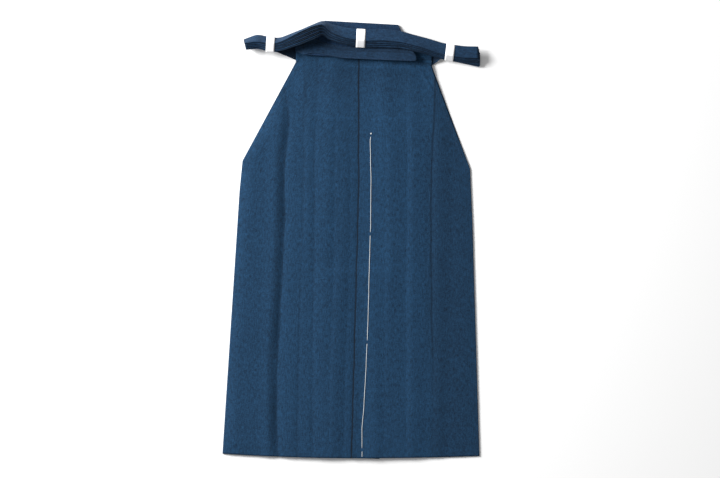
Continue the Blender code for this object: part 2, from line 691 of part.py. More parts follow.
class Bundle:
    """The straps, folded to and fro in one pile across the waist."""

    def __init__(self, support):
        self.places = [row["x"] * MM for row in BUNDLE]
        self.frames = [self.frame(row, support) for row in BUNDLE]

    def lowest(self, x):
        """The lowest layer at a place: the straps' roots are only at the two ends."""
        at_end = x < ROOT_LEFT + ROOT_REACH or x > ROOT_RIGHT - ROOT_REACH
        return LOWEST_LEVEL if at_end else LOWEST_LEVEL + 1

    def frame(self, row, support):
        """(middle of the lowest layer, step to the next layer, along, width and normal axes)."""
        x, outline, tilt = row["x"] * MM, row["outline"] * MM, math.radians(row["tilt"])
        pitch = STRAP_PITCH * row["loose"]
        slide = row["slide"] * MM / (TOP_LEVEL - LOWEST_LEVEL)
        before, after = max(x - REACH, self.places[0]), min(x + REACH, self.places[-1])
        rise = interpolated(BUNDLE, "outline", after) - interpolated(BUNDLE, "outline", before)
        angle = SECTION_TURN * math.atan2(rise * MM, after - before)
        side = (-math.sin(angle), math.cos(angle))
        along = (side[1], -side[0], 0.0)
        width_axis = (side[0] * math.cos(tilt), side[1] * math.cos(tilt), -math.sin(tilt))
        normal = (side[0] * math.sin(tilt), side[1] * math.sin(tilt), math.cos(tilt))
        hop = [normal[i] * pitch + width_axis[i] * slide for i in range(3)]
        hop_side = hop[0] * side[0] + hop[1] * side[1]
        # The outermost corner meets the outline
        outer = (TOP_LEVEL - LOWEST_LEVEL) * max(hop_side, 0.0)
        outer += HALF_WIDTH * math.cos(tilt) + HALF_THICKNESS * math.sin(tilt)
        first = [x - side[0] * outer, outline - side[1] * outer, 0.0]
        frame = (first, hop, along, width_axis, normal)
        needed = -1.0
        for level in range(self.lowest(x), TOP_LEVEL + 1):
            for px, py, pz in section_of(frame, level):
                for step in range(-4, 5):
                    spot = (px + along[0] * REACH * step / 4, py + along[1] * REACH * step / 4)
                    needed = max(needed, support(*spot) + ROOM_UNDER_BUNDLE - pz)
        first[2] = needed
        return frame

    def section(self, level, x, flip=1):
        """The cross section of one layer at x, between those of the two nearest frames."""
        i = min(max(bisect.bisect(self.places, x), 1), len(self.places) - 1)
        share = (x - self.places[i - 1]) / (self.places[i] - self.places[i - 1])
        before, after = (section_of(frame, level, flip) for frame in self.frames[i - 1 : i + 1])
        return [
            tuple(a + (b - a) * share for a, b in zip(p, q)) for p, q in zip(before, after)
        ]

    def layer(self, level, first_x, last_x, flip):
        """Sections of one layer of the pile, between two places."""
        low, high = min(first_x, last_x), max(first_x, last_x)
        places = [low] + [x for x in self.places if low < x < high] + [high]
        if first_x > last_x:
            places.reverse()
        return [self.section(level, x, flip) for x in places]

    def turn(self, level, next_level, x, outward, flip):
        """Sections round the turn between two layers, at one end of the pile."""
        first, hop, along, width_axis, normal = self.frames[self.places.index(x)]
        gap = sum(hop[i] * normal[i] for i in range(3)) * (next_level - level)
        sections = []
        for step in range(1, TURN_STEPS + 1):
            angle = math.pi * step / (TURN_STEPS + 1)
            count = level - LOWEST_LEVEL + (next_level - level) * (1 - math.cos(angle)) / 2
            out = outward * abs(gap) / 2 * math.sin(angle)
            section = []
            for a, b in strap_profile():
                section.append(
                    tuple(
                        first[i] + hop[i] * count + along[i] * out + width_axis[i] * a
                        + flip * b * (normal[i] * math.cos(angle) - outward * along[i] * math.sin(angle))
                        for i in range(3)
                    )
                )
            sections.append(section)
        return sections

    def strap(self, root, route):
        """Sections of a whole strap: its root, then its layers as (level, from x, to x)."""
        sections, flip = [], 1
        if root:
            joined = self.section(route[0][0], route[0][1])
            middle = [[(a + b) / 2 for a, b in zip(p, q)] for p, q in zip(root, joined)]
            sag = min(ROOT_SAG, min(z for _, _, z in middle))
            sections = [root, [(x, y, z - sag) for x, y, z in middle]]
        for i, (level, first_x, last_x) in enumerate(route):
            sections += self.layer(level, first_x, last_x, flip)
            if i + 1 < len(route):
                outward = 1 if last_x > first_x else -1
                sections += self.turn(level, route[i + 1][0], last_x, outward, flip)
                flip = -flip
        return sections

    def paper_band(self, x):
        """Sections of a paper band round the pile."""
        first, _, along, _, normal = self.frames[self.places.index(x)]
        side = (-along[1], along[0])
        first_angle = math.asin(normal[2])
        cloud = []
        for near in (-PAPER_REACH, 0.0, PAPER_REACH):
            for level in range(self.lowest(x), TOP_LEVEL + 1):
                for px, py, pz in self.section(level, x + near):
                    cloud.append(((px - first[0]) * side[0] + (py - first[1]) * side[1], pz))
        sections = []
        turns = [2 * math.pi * step / PAPER_CORNERS + first_angle for step in range(PAPER_CORNERS)]
        rings = [
            tangent_outline(cloud, turns, PAPER_CLEARANCE),
            tangent_outline(cloud, turns, PAPER_CLEARANCE + PAPER),
        ]
        for inner, outer in zip(*rings):
            section = []
            for (v, z), shift in ((inner, -0.5), (inner, 0.5), (outer, 0.5), (outer, -0.5)):
                section.append((
                    first[0] + side[0] * v + along[0] * shift * PAPER_WIDTH,
                    first[1] + side[1] * v + along[1] * shift * PAPER_WIDTH,
                    z,
                ))
            sections.append(section)
        return sections


def tangent_outline(cloud, turns, clearance):
    """Corners of the outline that touches a cloud of points from each direction, plus clearance."""
    reach = [max(v * math.cos(turn) + z * math.sin(turn) for v, z in cloud) + clearance for turn in turns]
    corners = []
    for i, turn in enumerate(turns):
        after = (i + 1) % len(turns)
        gap = turns[after] - turn
        a, b = reach[i], reach[after]
        v = (a * math.sin(turns[after]) - b * math.sin(turn)) / math.sin(gap)
        z = (b * math.cos(turn) - a * math.cos(turns[after])) / math.sin(gap)
        corners.append((v, z))
    return corners


def flat_section(x, low, high, z, flip=1, slope=0.0):
    """A section of a strap that lies flat, its edges at two places of y, or slopes down."""
    middle, half = (low + high) / 2, (high - low) / 2
    return [(x, middle + a, z + b * flip - slope * a) for a, b in strap_profile(half)]


def strap_root(corner, outward):
    """The end of a front strap, beside the waistband's end."""
    low = corner[1] + ROOT_ABOVE_WAIST[outward]
    high = low + ROOT_WIDTH
    return flat_section(corner[0] + outward * ROOT_GAP, low, high, HALF_THICKNESS)


class BaseStretch:
    """The back strap's stretch across the board's base, its right end folded under."""

    def __init__(self, support, slope):
        self.support = support
        self.slope = slope
        self.rows = []
        for row in BASE_STRETCH:
            x, low, high = row["x"] * MM, row["low"] * MM, row["high"] * MM
            self.rows.append((x, low, high, self.rest(x, low, high) + row["over"] * STRAP_PITCH))

    def rest(self, x, low, high):
        middle = (low + high) / 2
        highest = max(
            self.support(x + dx, low + (high - low) * step / 6)
            + self.slope * (low + (high - low) * step / 6 - middle)
            for step in range(7)
            for dx in (-8 * MM, 0.0, 8 * MM)
        )
        return highest + AIR + HALF_THICKNESS

    def top(self, x, y, margin):
        """Height of its upper face at a place, or 0 beside it."""
        for (x1, low1, high1, z1), (x0, low0, high0, z0) in zip(self.rows, self.rows[1:]):
            if x0 <= x <= x1 and min(low0, low1) - margin <= y <= max(high0, high1) + margin:
                return max(z0, z1) + HALF_THICKNESS - self.slope * (y - (low0 + high0) / 2)
        return 0.0

    def build(self):
        x, low, high, _ = self.rows[2]
        sections = []
        for place in (BASE_STRETCH_UNDER, x):
            sections.append(flat_section(place, low, high, self.rest(place, low, high), 1, self.slope))
        x, low, high, _ = self.rows[0]
        height = self.rest(x, low, high)
        sections.append(flat_section(x, low, high, height, 1, self.slope))
        radius = STRAP_PITCH / 2
        for step in range(1, TURN_STEPS + 1):
            angle = math.pi * step / (TURN_STEPS + 1)
            section = []
            for a, b in strap_profile((high - low) / 2):
                out = x + (radius - b) * math.sin(angle)
                up = height + radius * (1 - math.cos(angle)) + b * math.cos(angle)
                section.append((out, (low + high) / 2 + a, up - self.slope * a))
            sections.append(section)
        sections += [flat_section(*row, -1, self.slope) for row in self.rows]
        return tube("back_strap_base", sections, STRAP_FINISH)


def under_straps(board, x, y):
    """Height of what lies under a place of the straps: the waist's layers or the board."""
    height = 0.0
    inside = FRONT_WAIST_LEFT[0] - SUPPORT_MARGIN < x < FRONT_WAIST_RIGHT[0] + SUPPORT_MARGIN
    if inside and y < waist_low_y(x) + WAISTBAND_DEPTH + 3 * SUPPORT_MARGIN:
        height = pile_top(x, y)
    if board.holds(x, y, SUPPORT_MARGIN):
        height = max(height, board.under_z(x, y) + BOARD_THICKNESS)
    return height


def build_straps(board):
    stretch = BaseStretch(lambda x, y: under_straps(board, x, y), board.slope)
    made = [stretch.build()]
    bundle = Bundle(lambda x, y: max(under_straps(board, x, y), stretch.top(x, y, SUPPORT_MARGIN)))
    left, right = bundle.places[0], bundle.places[-1]
    root_left = strap_root(FRONT_WAIST_LEFT, -1)
    root_right = strap_root(FRONT_WAIST_RIGHT, 1)
    # Each strap's root, then its layers as (level, from, to)
    straps = {
        "front_strap_left": (root_left, [(-1, ROOT_LEFT, left), (0, left, right), (1, right, left)]),
        "front_strap_right": (root_right, [(-1, ROOT_RIGHT, right), (2, right, left), (3, left, right)]),
        "back_strap_left": (None, [(4, left, right), (5, right, left)]),
        "back_strap_right": (None, [(6, right, left), (7, left, right)]),
    }
    for name, (root, route) in straps.items():
        made.append(tube(name, bundle.strap(root, route), STRAP_FINISH))
    for name, x in PAPER_BANDS.items():
        made.append(tube(f"paper_band_{name}", bundle.paper_band(x), PAPER_FINISH, closed=True))
    return made


def centre_on_footprint(pieces):
    corners = [vertex.co for piece in pieces for vertex in piece.data.vertices]
    middle = [(min(c[i] for c in corners) + max(c[i] for c in corners)) / 2 for i in (0, 1)]
    for piece in pieces:
        for vertex in piece.data.vertices:
            vertex.co.x -= middle[0]
            vertex.co.y -= middle[1]


def main():
    for old in list(bpy.data.objects):
        bpy.data.objects.remove(old, do_unlink=True)
    board = Board()
    pieces = build_front() + build_inner_legs() + [build_waistband()] + build_back()
    pieces.append(board.build())
    pieces += build_straps(board)
    centre_on_footprint(pieces)


main()
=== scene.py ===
"""Looks for hakama trousers that lie flat, back side up, with their straps folded at the waist.

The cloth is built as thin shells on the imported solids' forms, in the same plan as theirs:
x to the right from the back pleat's edge at the waist, y from the hem towards the waist,
z up from the surface. Every piece is then moved by one shift into the model's own frame.
Sizes are in metres, apart from tables that say mm.
"""

import logging
from collections.abc import Callable, Sequence
from dataclasses import dataclass, field
from enum import Enum
from functools import partial
from math import atan2, cos, pi, radians, sin, sqrt, tau

import bpy
import numpy as np
from bpy.types import ID, Material, Node, NodeSocket, NodeTree, Object
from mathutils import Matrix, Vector
from mathutils.bvhtree import BVHTree
from numpy.linalg import norm


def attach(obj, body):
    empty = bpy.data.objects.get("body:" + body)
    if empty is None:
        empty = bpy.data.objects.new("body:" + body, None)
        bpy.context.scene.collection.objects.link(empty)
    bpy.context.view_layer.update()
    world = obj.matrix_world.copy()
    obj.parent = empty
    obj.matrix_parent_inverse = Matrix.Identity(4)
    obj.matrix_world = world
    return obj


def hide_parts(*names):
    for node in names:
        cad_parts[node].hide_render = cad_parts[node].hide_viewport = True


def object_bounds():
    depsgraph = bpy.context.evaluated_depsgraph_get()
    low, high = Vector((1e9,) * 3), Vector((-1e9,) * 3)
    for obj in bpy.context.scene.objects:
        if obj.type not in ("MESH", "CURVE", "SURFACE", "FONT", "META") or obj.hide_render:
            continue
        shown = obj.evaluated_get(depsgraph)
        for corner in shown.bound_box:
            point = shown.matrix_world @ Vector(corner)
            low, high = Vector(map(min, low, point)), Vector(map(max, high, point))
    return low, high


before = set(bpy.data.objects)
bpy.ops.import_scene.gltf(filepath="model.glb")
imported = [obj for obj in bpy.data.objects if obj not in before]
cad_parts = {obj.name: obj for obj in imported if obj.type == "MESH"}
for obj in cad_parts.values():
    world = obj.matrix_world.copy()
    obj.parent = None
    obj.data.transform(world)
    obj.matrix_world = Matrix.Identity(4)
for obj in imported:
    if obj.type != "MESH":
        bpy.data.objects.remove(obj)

CAD_LOW, CAD_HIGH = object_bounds()

MM = 0.001
Array = np.ndarray
Line = Callable[[Array], Array]
Pair = tuple[float, float]
Points = Sequence[Pair]
Colour = tuple[float, float, float]

CLOTH = 1.0 * MM
AIR = 0.3 * MM
PITCH = CLOTH + AIR
TINY = 1e-12  # keeps a length that is divided by above zero


class Slot(Enum):
    """Material slot names, passed along with each piece."""

    CLOTH = "cloth"
    STRAP = "strap_cloth"
    BOARD = "board_cloth"
    PAPER = "paper"


# ---- Small tools ----


def smooth(share: Array | float) -> Array:
    """A step that rises gently from 0 to 1 while share goes from 0 to 1."""
    share = np.clip(share, 0.0, 1.0)
    return share * share * (3.0 - 2.0 * share)


def broken_line(points: Points, y: Array | float) -> Array:
    """x on the broken line through points, given as (x, y) from the lowest up."""
    return np.interp(y, [point[1] for point in points], [point[0] for point in points])


def wander(place: Array | float, seed: int, length: float) -> Array:
    """A slow uneven wave between about -1 and 1.

    Args:
        place: Where it is read, in metres.
        seed: Which wave it is.
        length: Its main wavelength in metres.

    Returns:
        The wave's value at each place.
    """
    draw = np.random.default_rng(seed)
    total = np.zeros_like(np.asarray(place, float))
    shares = (1.0, 0.61, 0.37)
    for share in shares:
        turn = draw.uniform(0.0, tau)
        total = total + share * np.sin(tau * np.asarray(place) / (length * share) + turn)
    return total / sum(shares)


def ripple(x: Array, y: Array, seed: int, shortest: float, longest: float) -> Array:
    """Faint unevenness of handled cloth: a sum of waves in all directions.

    Args:
        x: Places across, in metres.
        y: The same places' y.
        seed: Which unevenness it is.
        shortest: Its shortest wavelength.
        longest: Its longest one.

    Returns:
        A value between about -1 and 1 for each place.
    """
    draw = np.random.default_rng(seed)
    total = np.zeros_like(x)
    waves = 14
    for _ in range(waves):
        length = draw.uniform(shortest, longest)
        heading, turn = draw.uniform(0.0, tau, 2)
        run = x * cos(heading) + y * sin(heading)
        total += np.sin(tau * run / length + turn)
    return total / sqrt(2.0 * waves)


# ---- Meshes ----


class Solid:
    """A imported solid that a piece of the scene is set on."""

    above: float = 1.0
    aside: float = 0.05 * MM
    crest_rays: int = 121

    def __init__(self, node: str, shift: Pair) -> None:
        """Reads the node's mesh.

        Args:
            node: The solid's name.
            shift: What is added to the plan's x and y to reach the model's frame.
        """
        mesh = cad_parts[node].data
        corners = [vertex.co for vertex in mesh.vertices]
        self.tree = BVHTree.FromPolygons(corners, [tuple(face.vertices) for face in mesh.polygons])
        self.shift = shift

    def hit(self, x: float, y: float) -> float | None:
        """Height of the first face that a ray from above meets, or None beside the solid."""
        start = Vector((x + self.shift[0], y + self.shift[1], self.above))
        place = self.tree.ray_cast(start, Vector((0.0, 0.0, -1.0)))[0]
        return None if place is None else place.z

    def top(self, x: float, y: float) -> float:
        """Height of the solid's top face at a place of the plan.

        Args:
            x: The place's x.
            y: Its y.

        Returns:
            The height, if the solid is there.
        """
        # A ray along an edge can miss both its faces
        for aside in (0.0, self.aside, -self.aside):
            height = self.hit(x + aside, y + 2.0 * aside)
            if height is not None:
                return height
        raise ValueError(f"no solid at {x:.4f}, {y:.4f}")

    def crest(self, spot: Array, side: Array, reach: float) -> float:
        """Height of the solid's highest place along a line across it.

        Args:
            spot: The line's middle, in the plan.
            side: Its direction.
            reach: How far it goes both ways.

        Returns:
            The greatest height of the solid's top face on it.
        """
        steps = np.linspace(-reach, reach, self.crest_rays)
        heights = [self.hit(*(spot[:2] + side[:2] * step)) for step in steps]
        return max(height for height in heights if height is not None)


def new_object(name: str, data: ID) -> Object:
    """A new object, linked to the scene."""
    made = bpy.data.objects.new(name, data)
    bpy.context.scene.collection.objects.link(made)
    return made


@dataclass
class Workshop:
    """Makes objects in the model's frame from points of the plan, and sets them on the garment's
    body.
    """

    shift: Pair

    def mesh_object(
        self,
        name: str,
        points: Array,
        faces: list,
        material: Material,
        uv: Array | None = None,
        shade: Array | None = None,
    ) -> Object:
        """An object whose faces point outwards.

        Args:
            name: The piece's name.
            points: Its corners in the plan, one a row.
            faces: Its faces, as corner numbers.
            material: Its finish.
            uv: Cloth coordinates of each corner in metres.
            shade: Each corner's share of the finish's colour, as painted shade and light.

        Returns:
            The new object, linked to the scene.
        """
        moved = np.asarray(points, float).reshape(-1, 3) + (*self.shift, 0.0)
        if signed_volume(moved, faces) < 0.0:
            faces = [face[::-1] for face in faces]
        mesh = bpy.data.meshes.new(name)
        mesh.from_pydata(moved.tolist(), [], faces)
        mesh.materials.append(material)
        mesh.shade_smooth()
        if uv is not None:
            layer = mesh.uv_layers.new(name="cloth")
            corners = np.zeros(len(mesh.loops), np.int32)
            mesh.loops.foreach_get("vertex_index", corners)
            layer.data.foreach_set("uv", np.asarray(uv, np.float32)[corners].ravel())
        # Painted shade and light, one value for each corner
        tint = mesh.attributes.new("shade", "FLOAT", "POINT")
        values = np.ones(len(moved)) if shade is None else np.asarray(shade).ravel()
        tint.data.foreach_set("value", values.astype(np.float32))
        return new_object(name, mesh)

    def hand_in(self, piece: Object, slot: Slot | None, *nodes: str) -> None:
        """Puts a finished piece on the garment's body, in place of its solids.

        Args:
            piece: The piece.
            slot: Its material slot, or None for sewing; not used.
            nodes: The solids that it replaces.
        """
        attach(piece, "root")
        if nodes:
            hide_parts(*nodes)
        piece.data.calc_loop_triangles()
        logging.info("%s: %d triangles", piece.name, len(piece.data.loop_triangles))


def signed_volume(points: Array, faces: list) -> float:
    """Volume inside a closed mesh.

    Args:
        points: Its corners, one a row.
        faces: Its faces, as corner numbers.

    Returns:
        The volume, below zero where the faces point inwards.
    """
    total = 0.0
    by_length: dict[int, list] = {}
    for face in faces:
        by_length.setdefault(len(face), []).append(face)
    for length, group in by_length.items():
        corners = points[np.array(group)]
        for i in range(1, length - 1):
            a, b, c = corners[:, 0], corners[:, i], corners[:, i + 1]
            total += float((a * np.cross(b, c)).sum()) / 6.0
    return total


def grid_normals(grid: Array) -> Array:
    """Unit normals of a surface given by rows and columns of points."""
    normals = np.cross(np.gradient(grid, axis=1), np.gradient(grid, axis=0))
    return normals / np.maximum(norm(normals, axis=2, keepdims=True), TINY)


def quads(ring: list[Array], turned: bool = False) -> list:
    """Faces given by the numbers of their four corners in turn, or turned over."""
    return np.stack(ring[::-1] if turned else ring, axis=-1).reshape(-1, 4).tolist()


def grid_faces(rows: int, columns: int, start: int, turned: bool) -> list:
    """Quads of a grid of points.

    Args:
        rows: How many rows it has.
        columns: How many columns.
        start: Its first corner's number.
        turned: Whether its faces point the other way.

    Returns:
        The faces, as corner numbers.
    """
    first = start + np.arange(rows - 1)[:, None] * columns + np.arange(columns - 1)[None, :]
    return quads([first, first + 1, first + columns + 1, first + columns], turned)


def rim_faces(rows: int, columns: int) -> list:
    """Quads that close a shell's two grids along their four sides.

    Args:
        rows: How many rows each grid has.
        columns: How many columns.

    Returns:
        The faces, as corner numbers.
    """
    top = np.arange(rows * columns).reshape(rows, columns)
    under = top + rows * columns
    faces = []
    for edge, below, turned in (
        (top[0], under[0], False),
        (top[-1], under[-1], True),
        (top[:, 0], under[:, 0], True),
        (top[:, -1], under[:, -1], False),
    ):
        faces += quads([edge[:-1], below[:-1], below[1:], edge[1:]], turned)
    return faces


def cloth_coordinates(grid: Array) -> Array:
    """Distances over the cloth, across and along.

    Args:
        grid: The cloth's rows and columns of points.

    Returns:
        Both distances for each point.
    """
    across = norm(np.diff(grid, axis=1), axis=2)
    u = np.concatenate([np.zeros((len(grid), 1)), np.cumsum(across, axis=1)], axis=1)
    v = np.repeat(grid[:, :1, 1], grid.shape[1], axis=1)
    return np.stack([u, v], axis=-1)


def shell(
    shop: Workshop,
    name: str,
    grid: Array,
    material: Material,
    shade: Array | None = None,
    thickness: float = CLOTH,
) -> Object:
    """A closed thin shell of cloth round a grid of points.

    Args:
        shop: Where the object is made.
        name: The piece's name.
        grid: The cloth's middle, as rows and columns of points of the plan.
        material: Its finish.
        shade: Share of the finish's colour at each point.
        thickness: The cloth's own thickness.

    Returns:
        The new object.
    """
    rows, columns = grid.shape[:2]
    offset = grid_normals(grid) * (thickness / 2.0)
    points = np.concatenate([(grid + offset).reshape(-1, 3), (grid - offset).reshape(-1, 3)])
    faces = grid_faces(rows, columns, 0, False)
    faces += grid_faces(rows, columns, rows * columns, True)
    faces += rim_faces(rows, columns)
    uv = cloth_coordinates(grid).reshape(-1, 2)
    tint = None if shade is None else np.concatenate([shade.ravel(), shade.ravel()])
    return shop.mesh_object(name, points, faces, material, np.concatenate([uv, uv]), tint)


def tube_faces(sections: int, width: int) -> list:
    """Faces of a tube through sections of equal width, with caps at its ends.

    Args:
        sections: How many sections it has.
        width: How many corners each has.

    Returns:
        The faces, as corner numbers.
    """
    ring = np.arange(width)
    after = (ring + 1) % width
    last = (sections - 1) * width
    faces = []
    for here in range(0, last, width):
        faces += quads([here + ring, here + after, here + width + after, here + width + ring])
    return [*faces, ring[::-1].tolist(), (last + ring).tolist()]


# ---- The garment's plan ----


@dataclass(frozen=True)
class Plan:
    """Outline of the garment as it lies."""

    hem_left_x: float = -322 * MM
    hem_right_x: float = 285 * MM
    hem_left_rise: float = 10.5 * MM
    hem_right_rise: float = 5 * MM
    below_foot_left: Pair = (-281 * MM, 631 * MM)
    below_foot_right: Pair = (268.3 * MM, 560 * MM)
    opening_foot_left: Pair = (-274 * MM, 702 * MM)
    opening_foot_right: Pair = (263 * MM, 683 * MM)
    # The back's edge beside the right opening, from its foot up to the board
    right_opening_edge: tuple[Pair, ...] = (
        (217 * MM, 800 * MM), (202 * MM, 840 * MM), (190.7 * MM, 870 * MM),
        (182 * MM, 893 * MM), (177.2 * MM, 906 * MM), (172 * MM, 920 * MM),
        (169.5 * MM, 931 * MM), (139 * MM, 935.5 * MM),
    )
    waist_left: Pair = (-148 * MM, 935 * MM)
    waist_right: Pair = (173 * MM, 924 * MM)
    waistband_depth: float = 33 * MM
    board_left: Pair = (-132 * MM, 951 * MM)
    board_right: Pair = (135 * MM, 936 * MM)
    lean_start: float = 631 * MM
    lean_at_hem: float = 17 * MM
    hem_fade: float = 300 * MM
    waist_fade: float = 800 * MM

    def pleat_edge(self, y: Array) -> Array:
        """The folded edge of the back pleat."""
        return -self.lean_at_hem * np.maximum(0.0, self.lean_start - y) / self.lean_start

    def hem_y(self, x: Array) -> Array:
        """The hem, which curves up a little towards its corners.

        Args:
            x: Places across.

        Returns:
            The hem's y at each.
        """
        left = self.hem_left_rise * (x / self.hem_left_x) ** 2
        right = self.hem_right_rise * (x / self.hem_right_x) ** 2
        return np.where(x < 0.0, left, right)

    def left_side(self, y: Array, back: bool) -> Array:
        """x of the garment's left edge at each y, on its back or on its front."""
        lower = (self.hem_left_x, 0.0), self.below_foot_left, self.opening_foot_left
        return broken_line((*lower, self.board_left if back else self.waist_left), y)

    def right_side(self, y: Array, back: bool) -> Array:
        """x of the garment's right edge.

        Args:
            y: Distances from the hem.
            back: Whether it is the back's edge, not the front's.

        Returns:
            The edge's x at each.
        """
        lower = (self.hem_right_x, 0.0), self.below_foot_right, self.opening_foot_right
        upper = (*self.right_opening_edge, self.board_right) if back else (self.waist_right,)
        return broken_line((*lower, *upper), y)

    def waist_y(self, x: Array) -> Array:
        """The lower edge of the waistband."""
        (x0, y0), (x1, y1) = self.waist_left, self.waist_right
        return y0 + (y1 - y0) * (x - x0) / (x1 - x0)

    def row_y(self, station: Array, x: Array, top: float) -> Array:
        """y of a cross section, which follows the hem low down and the waist high up.

        Args:
            station: The section's distance from the hem at the middle.
            x: Places across.
            top: The highest section's distance.

        Returns:
            The y of each place.
        """
        low = self.hem_y(x) * np.maximum(0.0, 1.0 - station / self.hem_fade)
        share = (station - self.waist_fade) / (top - self.waist_fade)
        return station + low + (self.waist_y(x) - self.waist_y(0.0)) * smooth(share)


@dataclass
class Layer:
    """One flat stretch of cloth between two lines of the plan, with others laid over it."""

    left: Line
    right: Line
    bottom: Line | None = None
    top: Line | None = None
    drape: float = 8 * MM
    is_back: bool = False
    margin: float = 2.5 * MM
    drape_along: float = 26 * MM

    def cover(self, x: Array, y: Array, drape: float) -> Array:
        """Where this layer lies.

        Args:
            x, y: Places of the plan.
            drape: How far beside its edges a cloth on top comes down again.

        Returns:
            1 over the layer, falling to 0 within drape of its edges.
        """
        share = smooth((x - self.left(y) + self.margin) / drape + 1.0)
        share = share * smooth((self.right(y) + self.margin - x) / drape + 1.0)
        if self.bottom:
            share = share * smooth((y - self.bottom(x) + self.margin) / self.drape_along + 1.0)
        if self.top:
            share = share * smooth((self.top(x) + self.margin - y) / self.drape_along + 1.0)
        return share


@dataclass
class Pile:
    """All the layers of cloth between the surface and the back, from the lowest up."""

    plan: Plan
    crotch_y: float = 430 * MM
    seam_lap: float = 19 * MM
    back_pleat_depth: float = 66 * MM
    back_drape: float = 46 * MM
    inside_side: float = 6 * MM
    # Distances of the front pleat lines from the back pleat's edge: (at the hem, at the waist)
    pleat_lines: dict[str, Pair] = field(
        default_factory=lambda: {
            "centre_edge": (20 * MM, 12 * MM),
            "second_edge": (62 * MM, 32 * MM),
            "centre_depth": (70 * MM, 60 * MM),
            "third_edge": (118 * MM, 66 * MM),
            "second_depth": (131 * MM, 112 * MM),
            "third_depth": (182 * MM, 176 * MM),
        }
    )
    layers: dict[str, Layer] = field(default_factory=dict)

    def __post_init__(self) -> None:
        """Lays the layers down in order."""
        plan, drape = self.plan, self.back_drape
        left, right = partial(self.pleat_line, -1), partial(self.pleat_line, 1)
        seam = left("centre_depth", inset=self.seam_lap)
        back_seam = self.beside_pleat(self.back_pleat_depth - self.seam_lap)
        back_depth = self.beside_pleat(self.back_pleat_depth)
        sides = plan.left_side, plan.right_side
        back_left, back_right = (partial(side, back=True) for side in sides)
        front_left, front_right = (partial(side, back=False) for side in sides)
        self.layers = {
            "waistband_under": self.waistband(),
            "left_outer": Layer(front_left, left("third_edge")),
            "left_third_back": Layer(left("third_depth"), left("third_edge")),
            "left_second_front": Layer(left("third_depth"), left("second_edge")),
            "left_second_back": Layer(left("second_depth"), left("second_edge")),
            "left_centre_front": Layer(left("second_depth"), left("centre_edge")),
            "left_centre_back": Layer(left("centre_depth"), left("centre_edge")),
            "right_outer": Layer(right("third_edge"), front_right),
            "right_third_back": Layer(right("third_edge"), right("third_depth")),
            "right_second_front": Layer(right("second_edge"), right("third_depth")),
            "right_second_back": Layer(right("second_edge"), right("second_depth")),
            "right_centre": Layer(seam, right("second_depth")),
            "inner_leg_right": Layer(seam, back_depth, top=self.crotch),
            "inner_leg_left": Layer(left("centre_depth"), back_seam, top=self.crotch),
            "waistband_over": self.waistband(),
            "back_left": Layer(back_left, back_seam, drape=drape, is_back=True),
            "back_right_under": Layer(plan.pleat_edge, back_depth, drape=drape, is_back=True),
            "back_right_over": Layer(plan.pleat_edge, back_right, drape=drape, is_back=True),
        }

    def crotch(self, x: Array) -> Array:
        """The top of the inner leg pieces."""
        return np.full_like(np.asarray(x, float), self.crotch_y)

    def distance(self, name: str, y: Array) -> Array:
        """How far a front pleat line is from the back pleat's edge at each y."""
        at_hem, at_waist = self.pleat_lines[name]
        return at_hem + (at_waist - at_hem) * np.minimum(y / self.plan.waist_left[1], 1.0)

    def pleat_line(self, half: int, name: str, inset: float = 0.0) -> Line:
        """A pleat line, never outside the panel's own side.

        Args:
            half: -1 for the left half of the front, 1 for the right one.
            name: The line's name.
            inset: How far to its right the wanted line runs.

        Returns:
            The line.
        """
        edge = self.plan.left_side if half < 0 else self.plan.right_side

        def x_at(y: Array) -> Array:
            """x of the line."""
            x = self.plan.pleat_edge(y) + half * self.distance(name, y) + inset
            return half * np.minimum(half * x, half * edge(y, False) - self.inside_side)

        return x_at

    def beside_pleat(self, away: float) -> Line:
        """A line beside the back pleat's edge."""
        return lambda y: self.plan.pleat_edge(y) + away

    def waistband(self) -> Layer:
        """One layer of the waistband."""
        first, last = self.plan.waist_left[0], self.plan.waist_right[0]
        return Layer(lambda _: np.array(first), lambda _: np.array(last), bottom=self.plan.waist_y)

    def base(self, name: str, x: Array, y: Array) -> Array:
        """Height of the middle of a layer's cloth over the lower ones, pressed flat.

        Args:
            name: The layer's name.
            x, y: Places of the plan.

        Returns:
            The height at each place.
        """
        drape = self.layers[name].drape
        z = np.full_like(x, CLOTH / 2.0)
        for lower, layer in self.layers.items():
            if lower == name:
                return z
            z = z + PITCH * layer.cover(x, y, drape)
        raise ValueError(f"no layer named {name}")


# ---- Creases ----


@dataclass(frozen=True)
class Crease:
    """A long sharp valley, and the cloth that stands up between it and the next one, in mm.

    Attributes:
        line: The valley's (x, y) points, from the hem up.
        height: How high the cloth to its right stands.
        rise: How far right of the valley it reaches that height.
        fall: How far before the next valley it starts to come down.
        shade: Share of the cloth's colour to its right: painted shade below 1, painted light above
            1.
        flat: Width of the valley's flat floor.
        dark: How much painted shade darkens the cloth in the valley itself.
        dark_half: Half the width of that painted shade line.
        dark_from: How far above the hem it starts.
        sway: How far the valley wanders to each side.
        sway_length: The length of one such wander.
    """

    line: tuple[Pair, ...]
    height: float
    rise: float
    fall: float
    shade: float = 1.0
    flat: float = 0.0
    dark: float = 0.0
    dark_half: float = 6.0
    dark_from: float = -200.0
    sway: float = 0.7
    sway_length: float = 140.0

    def x_at(self, y: Array, seed: int) -> Array:
        """x of the valley, wandering a little."""
        sway = self.sway * MM * wander(y, seed, self.sway_length * MM)
        return broken_line(self.line, y / MM) * MM + sway


